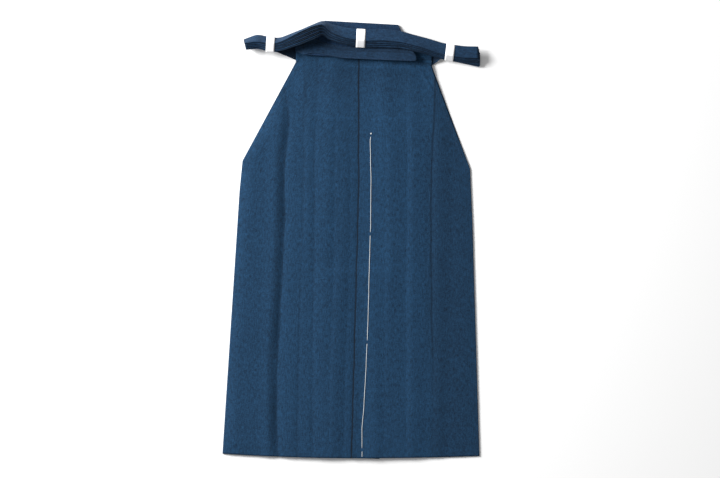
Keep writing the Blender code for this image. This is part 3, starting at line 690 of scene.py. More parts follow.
@dataclass(frozen=True)
class Mark:
    """A short crease or ridge along a line, in mm.

    Attributes:
        line: Its (x, y) points.
        height: Above zero for a ridge, below zero for a trough.
        half: Half its width.
        lead: Over this length its ends die out.
        tone: How much lighter the cloth is painted along it, as a painted highlight; below zero,
            painted shade.
    """

    line: tuple[Pair, ...]
    height: float
    half: float
    lead: float = 30.0
    tone: float = 0.0

    def relief(self, x: Array, y: Array) -> Array:
        """Its height at each place."""
        return self.height * MM * self.share(x, y)

    def share(self, x: Array, y: Array) -> Array:
        """How fully it is there at each place.

        Args:
            x, y: Places of the plan.

        Returns:
            1 along its line, falling to 0 at its edges and its ends.
        """
        points = np.array(self.line) * MM
        lengths = norm(np.diff(points, axis=0), axis=1)
        whole = float(lengths.sum())
        best = np.full_like(x, 1.0)
        run = np.zeros_like(x)
        before = 0.0
        for start, end, length in zip(points, points[1:], lengths):
            dx, dy = (end - start) / length
            t = np.clip((x - start[0]) * dx + (y - start[1]) * dy, 0.0, length)
            off = np.hypot(x - start[0] - t * dx, y - start[1] - t * dy)
            nearer = off < best
            best = np.where(nearer, off, best)
            run = np.where(nearer, before + t, run)
            before += float(length)
        ends = smooth(np.minimum(run, whole - run) / min(self.lead * MM, whole / 2.0))
        return ends * smooth(1.0 - best / (self.half * MM))


@dataclass
class Relief:
    """How the upper or the lower side of the cloth stands off the pressed pile."""

    plan: Plan
    creases: tuple[Crease, ...]
    marks: tuple[Mark, ...]
    first_height: float
    first_fall: float
    first_rise: float = 30.0
    least: float = 0.35 * MM
    at_hem: float = 0.55
    hem_lead: float = 50 * MM
    waist: Pair = (740 * MM, 900 * MM)
    at_waist: float = 0.1
    ripple_height: float = 0.16 * MM
    ripple_lengths: Pair = (34 * MM, 120 * MM)
    unevenness: float = 0.22
    uneven_length: float = 260 * MM
    shade_lead: float = 14 * MM
    dark_lead: float = 200 * MM
    seed: int = 11

    def bays(self, y: Array) -> list[tuple[Array, Array, Crease]]:
        """The bays between the valleys.

        Args:
            y: Distances from the hem.

        Returns:
            Each bay, as (left x, right x, its sizes).
        """
        lines = [self.plan.left_side(y, back=True)]
        lines += [crease.x_at(y, self.seed + i) for i, crease in enumerate(self.creases)]
        lines.append(self.plan.right_side(y, back=True))
        first = Crease((), self.first_height, self.first_rise, self.first_fall)
        sizes = [first, *self.creases]
        return [(lines[i], lines[i + 1], size) for i, size in enumerate(sizes)]

    def height(self, x: Array, y: Array) -> Array:
        """How far the cloth stands off the pressed pile.

        Args:
            x, y: Places of the plan.

        Returns:
            The distance at each place.
        """
        total = np.zeros_like(x)
        for i, (left, right, bay) in enumerate(self.bays(y)):
            here = (x > left) & (x <= right)
            start = left + bay.flat * MM
            up = 1.0 - (1.0 - np.clip((x - start) / (bay.rise * MM), 0.0, 1.0)) ** 2
            down = 1.0 - (1.0 - np.clip((right - x) / (bay.fall * MM), 0.0, 1.0)) ** 2
            wave = wander(y, self.seed + 40 + i, self.uneven_length)
            uneven = 1.0 + self.unevenness * wave
            total = np.where(here, bay.height * MM * uneven * up * down, total)
        low = self.at_hem + (1.0 - self.at_hem) * smooth(y / self.hem_lead)
        span = self.waist[1] - self.waist[0]
        high = self.at_waist + (1.0 - self.at_waist) * smooth((self.waist[1] - y) / span)
        total = total * low * high
        total = total + self.marked(x, y)
        total = total + self.ripple_height * ripple(x, y, self.seed, *self.ripple_lengths)
        return self.least + np.maximum(total, 0.0)

    def marked(self, x: Array, y: Array) -> Array:
        """Height of the short creases and ridges at each place."""
        return sum((mark.relief(x, y) for mark in self.marks), np.zeros_like(x))

    def shade(self, x: Array, y: Array) -> Array:
        """Painted shade and light on the cloth, changing softly across the valleys.

        Args:
            x, y: Places of the plan.

        Returns:
            Share of the cloth's colour at each place.
        """
        total = np.ones_like(x)
        # Painted shade and light over each bay
        for left, _, bay in self.bays(y):
            total = total + (bay.shade - total) * smooth((x - left) / self.shade_lead + 0.5)
        # Painted highlights and painted shade along the marks
        for mark in self.marks:
            total = total * (1.0 + mark.tone * mark.share(x, y))
        # Painted shade in each valley
        for left, _, bay in self.bays(y):
            away = np.abs(x - left - bay.flat * MM / 2.0)
            lasting = smooth((y - bay.dark_from * MM) / self.dark_lead + 0.5)
            near = smooth(1.0 - away / (bay.dark_half * MM))
            total = total * (1.0 - bay.dark * lasting * near)
        return total


# Each crease's shade is painted shade or light on the bay to its right, and its dark is painted
# shade in the valley
BACK_CREASES = (
    # The deep valley left of the seat, where the front's pleats begin below, with painted shade in
    # it
    Crease(
        (
            (-194, 0), (-196, 90), (-196, 208), (-189, 326), (-184, 420), (-177, 562),
            (-178, 682), (-175, 724), (-169, 767), (-166, 793), (-174, 847), (-178, 868),
        ),
        height=1.7, rise=18, fall=34, shade=1.03, flat=4, dark=0.36,
        dark_half=3.6,
    ),
    Crease(((-146, 0), (-143, 208), (-139, 420), (-132, 562), (-131, 703), (-128, 900)),
           height=0.8, rise=14, fall=16, shade=1.04, dark=0.16, dark_half=5),
    Crease(((-110, 0), (-110, 208), (-107, 420), (-105, 562), (-105, 703), (-98, 900)),
           height=0.8, rise=14, fall=28, shade=1.04, dark=0.12, dark_half=5),
    Crease(((-71, 0), (-68, 208), (-60, 420), (-57, 562), (-57, 703), (-52, 900)),
           height=0.8, rise=13, fall=20, shade=1.04),
    Crease(((-36, 0), (-32, 208), (-24, 420), (-20, 562), (-20, 703), (-18, 900)),
           height=0.25, rise=8, fall=9, shade=1.08),
    # The back pleat's edge, with a painted shadow line along it
    Crease(((-17, 0), (0, 631), (0, 950)),
           height=0.7, rise=4, fall=34, shade=1.09, dark=0.93, dark_half=3.0),
    Crease(((58, 0), (62, 420), (64, 703), (62, 900)),
           height=0.8, rise=18, fall=34, shade=1.08),
    Crease(((112, 0), (112, 420), (116, 703), (110, 900)),
           height=1.4, rise=18, fall=44, shade=1.10),
    # The valley right of the seat, with painted shade in it and on the cloth beyond it
    Crease(((169, 0), (173, 208), (170, 326), (168, 562), (169, 680), (175, 790), (178, 868)),
           height=1.3, rise=20, fall=84, shade=0.87, flat=4, dark=0.50,
           dark_half=3.8, dark_from=230),
)

BACK_MARKS = (
    # Painted shade on the shaded sides of the two valleys
    Mark(((-206, 0), (-208, 208), (-200, 326), (-189, 562), (-190, 682), (-178, 793)),
         0.0, 14, 60, -0.16),
    Mark(((165, 208), (162, 326), (160, 562), (161, 680), (167, 830)),
         0.0, 9, 90, -0.14),
    # Cloth in the shade of the strap's end
    Mark(((136, 940), (156, 939), (182, 931)), 0.0, 18, 5, -0.42),
    # Cloth in the shade of the whole pile
    Mark(((-150, 905), (160, 905)), 0.0, 75, 60, -0.13),
    # Soft folds below the waist, the first with painted shade in its trough
    Mark(((-118, 819), (-122, 836), (-127, 864), (-120, 897), (-116, 926)), -1.1, 8,
         tone=-0.22),
    Mark(((136, 922), (150, 910), (158, 893), (172, 868), (180, 856)), 1.0, 7),
    # Packing folds, where the laid garment was folded across, the first two with a painted
    # highlight along them
    Mark(((-108, 814), (-68, 804), (-2, 802)), 0.5, 9, 14, 0.16),
    Mark(((31, 800), (80, 803), (133, 804)), 0.5, 9, 14, 0.16),
    Mark(((31, 578), (80, 579), (126, 578)), 0.45, 6, 14),
    Mark(((-190, 486), (-120, 492), (-50, 490)), 0.3, 7),
    Mark(((40, 490), (120, 494), (240, 486)), 0.35, 7),
    Mark(((-280, 232), (-190, 230), (-60, 236)), 0.35, 7),
    Mark(((30, 234), (120, 230), (230, 236)), 0.3, 7),
    # The edge of what is turned in below the board, with a painted highlight along it
    Mark(((-34, 925), (60, 924), (166, 921)), 0.4, 4.5, 12, 0.28),
    # A pulled crease at the foot of the right opening, with painted shade in it
    Mark(((193, 757), (215, 744), (236, 730)), -1.0, 5, 12, -0.28),
)

# The front's own creases, which lift its cloth off the surface
FRONT_MARKS = (
    Mark(((-250, 60), (-244, 260), (-230, 470)), 0.9, 8, 90),
    Mark(((-205, 20), (-196, 300), (-178, 640)), 0.8, 7, 120),
    Mark(((-262, 520), (-228, 640), (-206, 760)), 0.8, 9, 80),
    Mark(((-150, 150), (-140, 420), (-124, 600)), 0.6, 6, 90),
    Mark(((-104, 80), (-92, 330), (-78, 700)), 0.6, 6, 120),
    Mark(((-54, 40), (-44, 380), (-30, 620)), 0.5, 6, 100),
    Mark(((150, 30), (158, 300), (168, 560)), 0.8, 7, 110),
    Mark(((214, 120), (212, 360), (200, 660)), 0.9, 9, 120),
    Mark(((84, 90), (92, 420), (96, 680)), 0.6, 6, 110),
    Mark(((36, 60), (44, 300), (52, 520)), 0.5, 6, 90),
    Mark(((-290, 232), (-120, 226), (60, 236), (250, 230)), 0.4, 7),
    Mark(((-280, 490), (-60, 494), (60, 486), (250, 492)), 0.4, 7),
)


# ---- Finishes ----


class Nodes:
    """Adds nodes to one tree, of a material or of Geometry Nodes."""

    def __init__(self, tree: NodeTree) -> None:
        """Keeps the tree."""
        self.tree = tree

    def fill(self, node: Node, inputs: dict) -> None:
        """Sets a node's inputs, or links them.

        Args:
            node: The node.
            inputs: A value or a socket for each, by name or number.
        """
        for key, value in inputs.items():
            if isinstance(value, NodeSocket):
                self.tree.links.new(value, node.inputs[key])
            else:
                node.inputs[key].default_value = value

    def add(self, kind: str, inputs: dict | None = None, **settings: object) -> Node:
        """Adds a node.

        Args:
            kind: Its type.
            inputs: A value or a socket for each input, by name or number.
            settings: Its other settings.

        Returns:
            The new node.
        """
        node = self.tree.nodes.new(kind)
        for key, value in settings.items():
            setattr(node, key, value)
        self.fill(node, inputs or {})
        return node

    def maths(self, operation: str, *values: NodeSocket | float) -> NodeSocket:
        """The result of a Math node on sockets or numbers."""
        return self.add("ShaderNodeMath", dict(enumerate(values)), operation=operation).outputs[0]


class MaterialNodes(Nodes):
    """Builds one material's nodes."""

    def __init__(self, name: str) -> None:
        """Starts a material with its shader.

        Args:
            name: The material's name.
        """
        self.material = bpy.data.materials.new(name)
        self.material.use_nodes = True
        super().__init__(self.material.node_tree)
        self.shader = self.tree.nodes["Principled BSDF"]

    def place(self) -> NodeSocket:
        """Object coordinates."""
        return self.add("ShaderNodeTexCoord").outputs["Object"]

    def noise(self, vector: NodeSocket, size: float, detail: float) -> NodeSocket:
        """Noise with blotches of about one size, in metres."""
        inputs = {"Vector": vector, "Scale": 1.0 / size, "Detail": detail}
        return self.add("ShaderNodeTexNoise", inputs).outputs[0]

    def surface(self, **values: object) -> None:
        """Sets or links the shader's inputs, with _ for a space in each one's name."""
        self.fill(self.shader, {key.replace("_", " "): value for key, value in values.items()})

    def paint(self, colour: Colour, tone: NodeSocket) -> None:
        """Makes the surface a colour, multiplied by a tone."""
        scale = self.add("ShaderNodeVectorMath", {0: colour, "Scale": tone}, operation="SCALE")
        self.surface(Base_Color=scale.outputs[0])

    def emboss(self, height: NodeSocket, strength: float, depth: float) -> None:
        """Makes the surface look raised by height."""
        inputs = {"Height": height, "Strength": strength, "Distance": depth}
        self.surface(Normal=self.add("ShaderNodeBump", inputs).outputs[0])


@dataclass(frozen=True)
class ClothFinish:
    """Woven cloth: matt, finely mottled, with threads both ways.

    Attributes:
        colour: Its own colour, before light falls on it.
        mottle: How much light and dark threads differ.
        blotch: How much larger patches differ.
        thread: Width of one thread.
        speck, slub, patch: Sizes of its specks, thick places and patches.
        dash, dash_rate: Width of its dashes, and their rate along it as a share of that across.
        speck_share: The specks' share of the mottling; the dashes have the rest.
        strengths: Of its mottling, thick places, patches and threads.
        slub_height: How high a thick place stands, against a thread.
        relief: How deep the weave is.
        raised: How strongly that shows.
        roughness: How matt it is.
        gloss: How much it shines.
        sheen, sheen_spread, sheen_tint: How its fuzz catches light.
    """

    name: str
    colour: Colour
    mottle: float = 0.95
    blotch: float = 0.10
    thread: float = 0.55 * MM
    speck: float = 2.7 * MM
    slub: float = 7.0 * MM
    patch: float = 60.0 * MM
    dash: float = 2.6 * MM
    dash_rate: float = 0.22
    speck_share: float = 0.55
    strengths: tuple[float, float, float, float] = (2.6, 0.8, 2.0, 0.22)
    slub_height: float = 1.2
    relief: float = 0.22 * MM
    raised: float = 0.6
    roughness: float = 0.86
    gloss: float = 0.14
    sheen: float = 0.07
    sheen_spread: float = 0.55
    sheen_tint: tuple[float, float, float, float] = (0.55, 0.68, 0.85, 1.0)

    def build(self) -> Material:
        """Makes the finish.

        Returns:
            The material.
        """
        nodes = MaterialNodes(self.name)
        place = nodes.place()
        cloth = nodes.add("ShaderNodeUVMap", uv_map="cloth").outputs["UV"]
        weave = self.weave(nodes, cloth)
        specks = nodes.noise(place, self.speck, 2.0)
        rates = {0: cloth, 1: (1.0, self.dash_rate, 1.0)}
        along = nodes.add("ShaderNodeVectorMath", rates, operation="MULTIPLY")
        dashes = nodes.noise(along.outputs[0], self.dash, 1.0)
        slubs = nodes.noise(place, self.slub, 3.0)
        patches = nodes.noise(place, self.patch, 2.0)
        grain = nodes.maths(
            "ADD",
            nodes.maths("MULTIPLY", specks, self.speck_share),
            nodes.maths("MULTIPLY", dashes, 1.0 - self.speck_share),
        )
        mottling, thick, patched, threads = self.strengths
        evened = nodes.maths("SUBTRACT", grain, 0.5)
        tone = nodes.maths("MULTIPLY_ADD", evened, self.mottle * mottling, 1.0)
        for value, strength in (
            (slubs, self.mottle * thick), (patches, self.blotch * patched), (weave, threads),
        ):
            change = nodes.maths("MULTIPLY", nodes.maths("SUBTRACT", value, 0.5), strength)
            tone = nodes.maths("ADD", tone, change)
        # The shade attribute holds painted shade and light
        shade = nodes.add("ShaderNodeAttribute", attribute_name="shade").outputs["Fac"]
        nodes.paint(self.colour, nodes.maths("MULTIPLY", tone, shade))
        height = nodes.maths("ADD", weave, nodes.maths("MULTIPLY", slubs, self.slub_height))
        nodes.emboss(height, self.raised, self.relief)
        nodes.surface(Roughness=self.roughness, Specular_IOR_Level=self.gloss)
        nodes.surface(
            Sheen_Weight=self.sheen, Sheen_Roughness=self.sheen_spread, Sheen_Tint=self.sheen_tint
        )
        return nodes.material

    def weave(self, nodes: MaterialNodes, cloth: NodeSocket) -> NodeSocket:
        """Threads over and under each other.

        Args:
            nodes: Where they are made.
            cloth: Distances over the cloth.

        Returns:
            0 in the gaps and 1 on top of a thread.
        """
        ways = nodes.add("ShaderNodeSeparateXYZ", {0: cloth}).outputs[:2]
        turn = pi / self.thread
        waves = [nodes.maths("SINE", nodes.maths("MULTIPLY", way, turn)) for way in ways]
        half = nodes.maths("MULTIPLY", nodes.maths("MULTIPLY", *waves), 0.5)
        return nodes.maths("ADD", half, 0.5)


@dataclass(frozen=True)
class PaperFinish:
    """Plain white packing paper, a little uneven."""

    name: str
    colour: Colour = (0.95, 0.95, 0.96)
    fibre: float = 2.5 * MM
    uneven: float = 0.08
    darkest: float = 0.95
    relief: float = 0.1 * MM
    raised: float = 0.25
    roughness: float = 0.62

    def build(self) -> Material:
        """Makes the finish.

        Returns:
            The material.
        """
        nodes = MaterialNodes(self.name)
        fibres = nodes.noise(nodes.place(), self.fibre, 4.0)
        nodes.paint(self.colour, nodes.maths("MULTIPLY_ADD", fibres, self.uneven, self.darkest))
        nodes.emboss(fibres, self.raised, self.relief)
        nodes.surface(Roughness=self.roughness)
        return nodes.material


@dataclass(frozen=True)
class ThreadFinish:
    """Twisted sewing thread."""

    name: str
    colour: Colour
    twist: float = 0.9 * MM
    uneven: float = 0.5
    darkest: float = 0.75
    roughness: float = 0.7
    sheen: float = 0.2

    def build(self) -> Material:
        """Makes the finish.

        Returns:
            The material.
        """
        nodes = MaterialNodes(self.name)
        twists = nodes.noise(nodes.place(), self.twist, 1.0)
        nodes.paint(self.colour, nodes.maths("MULTIPLY_ADD", twists, self.uneven, self.darkest))
        nodes.surface(Roughness=self.roughness, Sheen_Weight=self.sheen)
        return nodes.material


# ---- Panels ----


@dataclass
class Stretch:
    """One layer's stretch of a folded panel.

    Attributes:
        layer: The layer's name.
        direction: 1 where the cloth runs to the right, -1 to the left.
        columns: How many points it has across.
    """

    layer: str
    direction: int
    columns: int


@dataclass
class Panels:
    """The four panels, the inner legs and the waistband."""

    shop: Workshop
    plan: Plan
    pile: Pile
    back: Relief
    front: Relief
    cloth: Material
    back_top: float = 950 * MM
    front_top: float = 958 * MM
    fold_steps: int = 5
    least_gap: float = 0.25 * MM
    rows: int = 200
    back_rows: int = 220
    leg_rows: int = 60
    waist_rows: int = 10
    waist_columns: int = 130

    def layer_z(self, name: str, x: Array, y: Array) -> Array:
        """Height of the middle of a layer's cloth.

        Args:
            name: The layer's name.
            x, y: Places of the plan.

        Returns:
            The height at each place.
        """
        base = self.pile.base(name, x, y)
        raised = base + self.front.marked(x, y)
        if not self.pile.layers[name].is_back:
            return raised
        return np.maximum(base + self.back.height(x, y), raised + self.least_gap)

    def stretch(self, part: Stretch, stations: Array, top: float) -> Array:
        """Rows of points over one layer.

        Args:
            part: The stretch of cloth that lies there.
            stations: Its sections' distances from the hem.
            top: The highest one's.

        Returns:
            The points, in the order in which the cloth runs.
        """
        layer = self.pile.layers[part.layer]
        share = np.linspace(0.0, 1.0, part.columns)[None, :]
        station = stations[:, None]
        x = layer.left(station) + (layer.right(station) - layer.left(station)) * share
        y = self.plan.row_y(station, x, top)
        x = layer.left(y) + (layer.right(y) - layer.left(y)) * share
        grid = np.stack([x, y, self.layer_z(part.layer, x, y)], axis=-1)
        return grid[:, :: part.direction]

    def fold(self, start: Array, end: Array, outward: int, axis: int = 0) -> Array:
        """Points round a fold between two stretches that lie one above the other.

        Args:
            start: The lower stretch's edge.
            end: The upper one's.
            outward: 1 for a fold that stands out along the axis, -1 against it.
            axis: 0 for the plan's x, 1 for its y.

        Returns:
            Rows of points, without the two edges.
        """
        radius = (end[:, 2] - start[:, 2]) / 2.0
        columns = []
        for step in range(1, self.fold_steps + 1):
            share = step / (self.fold_steps + 1)
            angle = pi * share
            point = start + (end - start) * share
            point[:, axis] += outward * radius * sin(angle)
            point[:, 2] = start[:, 2] + radius * (1.0 - cos(angle))
            columns.append(point)
        return np.stack(columns, axis=1)

    def panel(self, parts: Sequence[Stretch], stations: Array) -> Array:
        """A folded panel's whole grid.

        Args:
            parts: Its stretches, in turn.
            stations: Its sections' distances from the hem.

        Returns:
            Rows and columns of points.
        """
        top = float(stations[-1])
        grid = None
        for part in parts:
            stretch = self.stretch(part, stations, top)
            if grid is None:
                grid = stretch
                continue
            turn = self.fold(grid[:, -1].copy(), stretch[:, 0].copy(), -part.direction)
            grid = np.concatenate([grid, turn, stretch], axis=1)
        return grid

    def sheet(
        self, name: str, grid: Array, shade: Array | None = None
    ) -> None:
        """A panel's shell, with its flat size logged.

        Args:
            name: Its solid's name.
            grid: Points of its middle surface.
            shade: Share of the cloth's colour at each point.
        """
        piece = shell(self.shop, name, grid, self.cloth, shade)
        self.shop.hand_in(piece, Slot.CLOTH, name)
        width = float(cloth_coordinates(grid)[:, -1, 0].max())
        length = float(np.ptp(grid[..., 1]))
        area = grid_area(grid)
        flat = (round(width, 3), round(length, 3))
        area = min(round(area, 4), flat[0] * flat[1])
        logging.info("%s: flat %.3f x %.3f m, %.4f square metres", name, *flat, area)

    def build_front(self) -> None:
        """Both front panels, with their pleats."""
        stations = np.linspace(0.0, self.front_top, self.rows)
        left = (
            ("left_outer", 1, 64), ("left_third_back", -1, 14), ("left_second_front", 1, 34),
            ("left_second_back", -1, 18), ("left_centre_front", 1, 34),
            ("left_centre_back", -1, 14),
        )
        right = (
            ("right_outer", -1, 50), ("right_third_back", 1, 14), ("right_second_front", -1, 34),
            ("right_second_back", 1, 18), ("right_centre", -1, 52),
        )
        for side, parts in (("left", left), ("right", right)):
            grid = self.panel([Stretch(*part) for part in parts], stations)
            self.sheet(f"front_panel_{side}", grid)

    def build_inner_legs(self) -> None:
        """The hidden inner side of each leg."""
        stations = np.linspace(0.0, self.pile.crotch_y, self.leg_rows)
        for side in ("left", "right"):
            name = f"inner_leg_{side}"
            grid = self.panel([Stretch(name, 1, 24)], stations)
            self.sheet(name, grid)

    def build_back(self) -> None:
        """Both back panels, with the pleat between them."""
        stations = np.linspace(0.0, self.back_top, self.back_rows)
        left = [Stretch("back_left", 1, 190)]
        right = [Stretch("back_right_under", -1, 16), Stretch("back_right_over", 1, 170)]
        for side, parts, under in (("left", left, ()), ("right", right, ("back_panel_left",))):
            grid = self.panel(parts, stations)
            # Painted shade and light from the back's creases and marks
            shade = self.back.shade(grid[..., 0], grid[..., 1])
            self.sheet(f"back_panel_{side}", grid, shade)

    def build_waistband(self) -> None:
        """A strip folded over the top edge of the front panels."""
        plan = self.plan
        x = np.linspace(plan.waist_left[0], plan.waist_right[0], self.waist_columns)
        low = plan.waist_y(x)
        across = np.linspace(0.0, plan.waistband_depth, self.waist_rows)
        under, over = (
            [np.stack([x, low + a, self.layer_z(layer, x, low + a)], -1) for a in across]
            for layer in ("waistband_under", "waistband_over")
        )
        turn = self.fold(under[-1], over[-1], 1, axis=1)
        sides = np.stack(under, axis=1), turn, np.stack(over[::-1], axis=1)
        grid = np.concatenate(sides, axis=1)
        piece = shell(self.shop, "front_waistband", grid, self.cloth)
        self.shop.hand_in(piece, Slot.CLOTH, "front_waistband")

    def line_on(self, layer: str, x: Array, y: Array) -> Array:
        """Points of a line on the upper face of one layer, from the line's x and y."""
        z = self.layer_z(layer, x[:, None], y[:, None])[:, 0] + CLOTH / 2.0
        return np.stack([x, y, z], axis=-1)


def grid_area(grid: Array) -> float:
    """Area of a surface.

    Args:
        grid: Its rows and columns of points.

    Returns:
        The area.
    """
    a, b = grid[:-1, :-1], grid[:-1, 1:]
    c, d = grid[1:, 1:], grid[1:, :-1]
    first = norm(np.cross(b - a, c - a), axis=-1).sum()
    second = norm(np.cross(c - a, d - a), axis=-1).sum()
    return float(first + second) / 2.0


# ---- Back board ----


@dataclass
class Board:
    """The stiff board at the back of the waist, in its stitched cloth cover."""

    shop: Workshop
    plan: Plan
    solid: Solid
    cloth: Material
    top_width: float = 175 * MM
    height: float = 84 * MM
    thickness: float = 5 * MM
    edge_round: float = 1.6 * MM
    corner: float = 3.2 * MM
    crown: float = 0.5 * MM
    skin: float = 0.8 * MM
    seam_inset: float = 4.0 * MM
    edge_length: float = 0.56  # of the cover's edge, which counts in its area
    per_edge: int = 34
    per_corner: int = 6
    edge_steps: int = 5
    face_rings: tuple[float, ...] = (0.05, 0.3, 0.55, 0.8, 0.93)

    def __post_init__(self) -> None:
        """Finds the board's own axes, and its slope from the waist down to the surface."""
        left, right = np.array(self.plan.board_left), np.array(self.plan.board_right)
        run = right - left
        self.half = float(norm(run)) / 2.0
        self.along = run / (2.0 * self.half)
        self.up = np.array((-self.along[1], self.along[0]))
        self.middle = (left + right) / 2.0
        half_way = self.height / 2.0
        top = self.solid.top(*(self.middle + self.up * half_way))
        self.slope = (top - self.thickness - AIR) / half_way

    def place(self, local: Array, height: float) -> Array:
        """Sets points on the board.

        Args:
            local: Points in the board's own axes.
            height: Their height over its underside.

        Returns:
            The same points, in the plan.
        """
        flat = self.middle + local[..., :1] * self.along + local[..., 1:2] * self.up
        z = AIR + (self.height - local[..., 1]) * self.slope + height
        return np.concatenate([flat, z[..., None]], axis=-1)

    def outline(self, inset: float) -> Array:
        """The board's outline with rounded corners.

        Args:
            inset: How far inside the board's edge it runs.

        Returns:
            Its points, in the board's own axes.
        """
        top = self.top_width / 2.0
        corners = [(-self.half, 0.0), (self.half, 0.0), (top, self.height), (-top, self.height)]
        lean = atan2(self.half - top, self.height)
        turns = [-pi - lean, -pi / 2.0, lean, pi / 2.0, pi - lean]
        rings = []
        for corner, before, after in zip(corners, turns, turns[1:]):
            bisector = (before + after) / 2.0
            reach = self.corner / cos((after - before) / 2.0)
            centre = np.array(corner) - reach * np.array((cos(bisector), sin(bisector)))
            for turn in np.linspace(before, after, self.per_corner):
                arm = (self.corner - inset) * np.array((cos(turn), sin(turn)))
                rings.append(centre + arm)
        filled = []
        for i, point in enumerate(rings):
            following = rings[(i + 1) % len(rings)]
            steps = self.per_edge if (i + 1) % self.per_corner == 0 else 1
            for share in np.linspace(0.0, 1.0, steps, endpoint=False):
                filled.append(point + (following - point) * share)
        return np.array(filled)

    def surface(self, shrink: float) -> tuple[Array, list]:
        """Points and faces of the cover's outer skin, or of its inner one.

        Args:
            shrink: How far inside the outer face it lies.

        Returns:
            The points of the plan and the faces.
        """
        base = self.outline(shrink)
        middle = base.mean(axis=0)
        profile = []
        for angle in np.linspace(0.0, pi / 2.0, self.edge_steps):
            inset = self.edge_round * (1.0 - sin(angle))
            profile.append((inset, shrink + self.edge_round * (1.0 - cos(angle))))
        upper = [(inset, self.thickness - height) for inset, height in profile]
        rings = []
        for share in self.face_rings:
            rings.append(self.place(middle + (base - middle) * share, shrink))
        for inset, height in profile + upper[::-1]:
            ring = self.outline(shrink + inset)
            rings.append(self.place(ring, height))
        for share in self.face_rings[::-1]:
            crowned = self.thickness - shrink + self.crown * (1.0 - share**2)
            rings.append(self.place(middle + (base - middle) * share, crowned))
        return np.concatenate(rings), tube_faces(len(rings), len(base))

    def build(self) -> None:
        """The cover, outer skin and inner one."""
        outer, faces = self.surface(0.0)
        inner, inner_faces = self.surface(self.skin)
        inside = [[i + len(outer) for i in face[::-1]] for face in inner_faces]
        points = np.concatenate([outer, inner])
        local = points[:, :2] - self.middle
        uv = np.stack([local @ self.along, local @ self.up], axis=-1)
        piece = self.shop.mesh_object("back_board", points, faces + inside, self.cloth, uv)
        self.shop.hand_in(piece, Slot.BOARD, "back_board")
        area = 2.0 * self.height * (self.half + self.top_width / 2.0)
        area += self.thickness * self.edge_length

    def seam(self) -> Array:
        """The line of stitches round the cover's upper face."""
        ring = self.outline(self.seam_inset)
        return self.place(np.concatenate([ring, ring[:1]]), self.thickness)


# ---- Straps ----


def softened(places: Array, values: Array, at: Array, reach: float = 7 * MM) -> Array:
    """Values of a table between its rows: straight, with each bend rounded over reach.

    Args:
        places: The rows' places, rising.
        values: The rows' values, of any shape.
        at: Where values are wanted.
        reach: How far before and after a row its bend is rounded.

    Returns:
        One value for each place.
    """
    rows = values.reshape(len(places), -1)
    total = np.zeros((len(at), rows.shape[1]))
    window = np.minimum(reach, np.minimum(at - places[0], places[-1] - at))
    shares = np.linspace(-1.0, 1.0, 7)
    for share in shares:
        near = at + window * share
        total += np.stack([np.interp(near, places, column) for column in rows.T], axis=-1)
    return (total / len(shares)).reshape(len(at), *values.shape[1:])


@dataclass(frozen=True)
class Tape:
    """Cross section of a strap: a flat tube of cloth."""

    width: float = 28 * MM
    thickness: float = 2.0 * MM
    edge: float = 0.9 * MM
    pillow: float = 0.24
    skin: float = 0.35 * MM
    groove: float = 0.16 * MM
    groove_fade: float = 0.3
    across: int = 15
    round_steps: int = 3

    @property
    def pitch(self) -> float:
        """How far one layer lies above another."""
        return self.thickness + AIR

    def profile(self, width: float | None = None, shrink: float = 0.0) -> Array:
        """Points round the section.

        Args:
            width: Its width, where it isn't the strap's own.
            shrink: How far inside the outer face they lie.

        Returns:
            The points, as (across its width, through its thickness).
        """
        half = (width or self.width) / 2.0 - shrink
        flat = half - (self.edge - shrink)
        a = np.linspace(flat, -flat, self.across)
        thick = (self.thickness / 2.0 - shrink) * (1.0 - self.pillow * (a / half) ** 2)
        thick[[1, -2]] -= self.groove - self.groove_fade * shrink
        edge_thick = thick[0]
        angles = np.linspace(0.0, pi, self.round_steps + 2)[1:-1]
        turn_a = -flat - (half - flat) * np.sin(angles)
        turn_b = edge_thick * np.cos(angles)
        top = np.stack([a, thick], axis=-1)
        left = np.stack([turn_a, turn_b], axis=-1)
        return np.concatenate([top, left, top * (-1.0, -1.0), left * (-1.0, -1.0)])


@dataclass(frozen=True)
class Station:
    """How the folded straps lie at one place of the pile.

    Attributes:
        x: The place, in mm.
        outline: The pile's upper outline, y in mm.
        tilt: The tilt of its layers towards the waist, in degrees.
        slide: How far they slide over each other from the lowest to the top one, in mm.
        loose: How loosely they lie.
    """

    x: float
    outline: float
    tilt: float
    slide: float
    loose: float = 1.0


STATIONS = tuple(Station(*row) for row in (
    (-270, 989, 68, 1, 0.9), (-240, 1000, 50, 2), (-207, 993, 52, 5), (-186, 992, 66, 5, 1.25),
    (-138, 1010, 79, 3, 1.7), (-108, 1023, 79, 3, 1.7), (-84, 1033, 69, 5, 1.45),
    (-62, 1023, 46, 8, 1.1), (-30, 1015, 28, 10), (6, 1011, 17, 13), (62, 1010, 16, 13),
    (104, 1006, 22, 10), (145, 995, 30, 8), (196, 980, 18, 6), (217, 975, 14, 5),
    (248, 971, 8, 11), (282, 971, 6, 18),
))


@dataclass
class Route:
    """One strap's way through the pile.

    Attributes:
        name: The strap's name.
        runs: Its layers in turn, as (level, from x, to x).
        root: The place beside the waistband where it is sewn on, if it is a front strap.
    """

    name: str
    runs: tuple[tuple[int, float, float], ...]
    root: Array | None = None


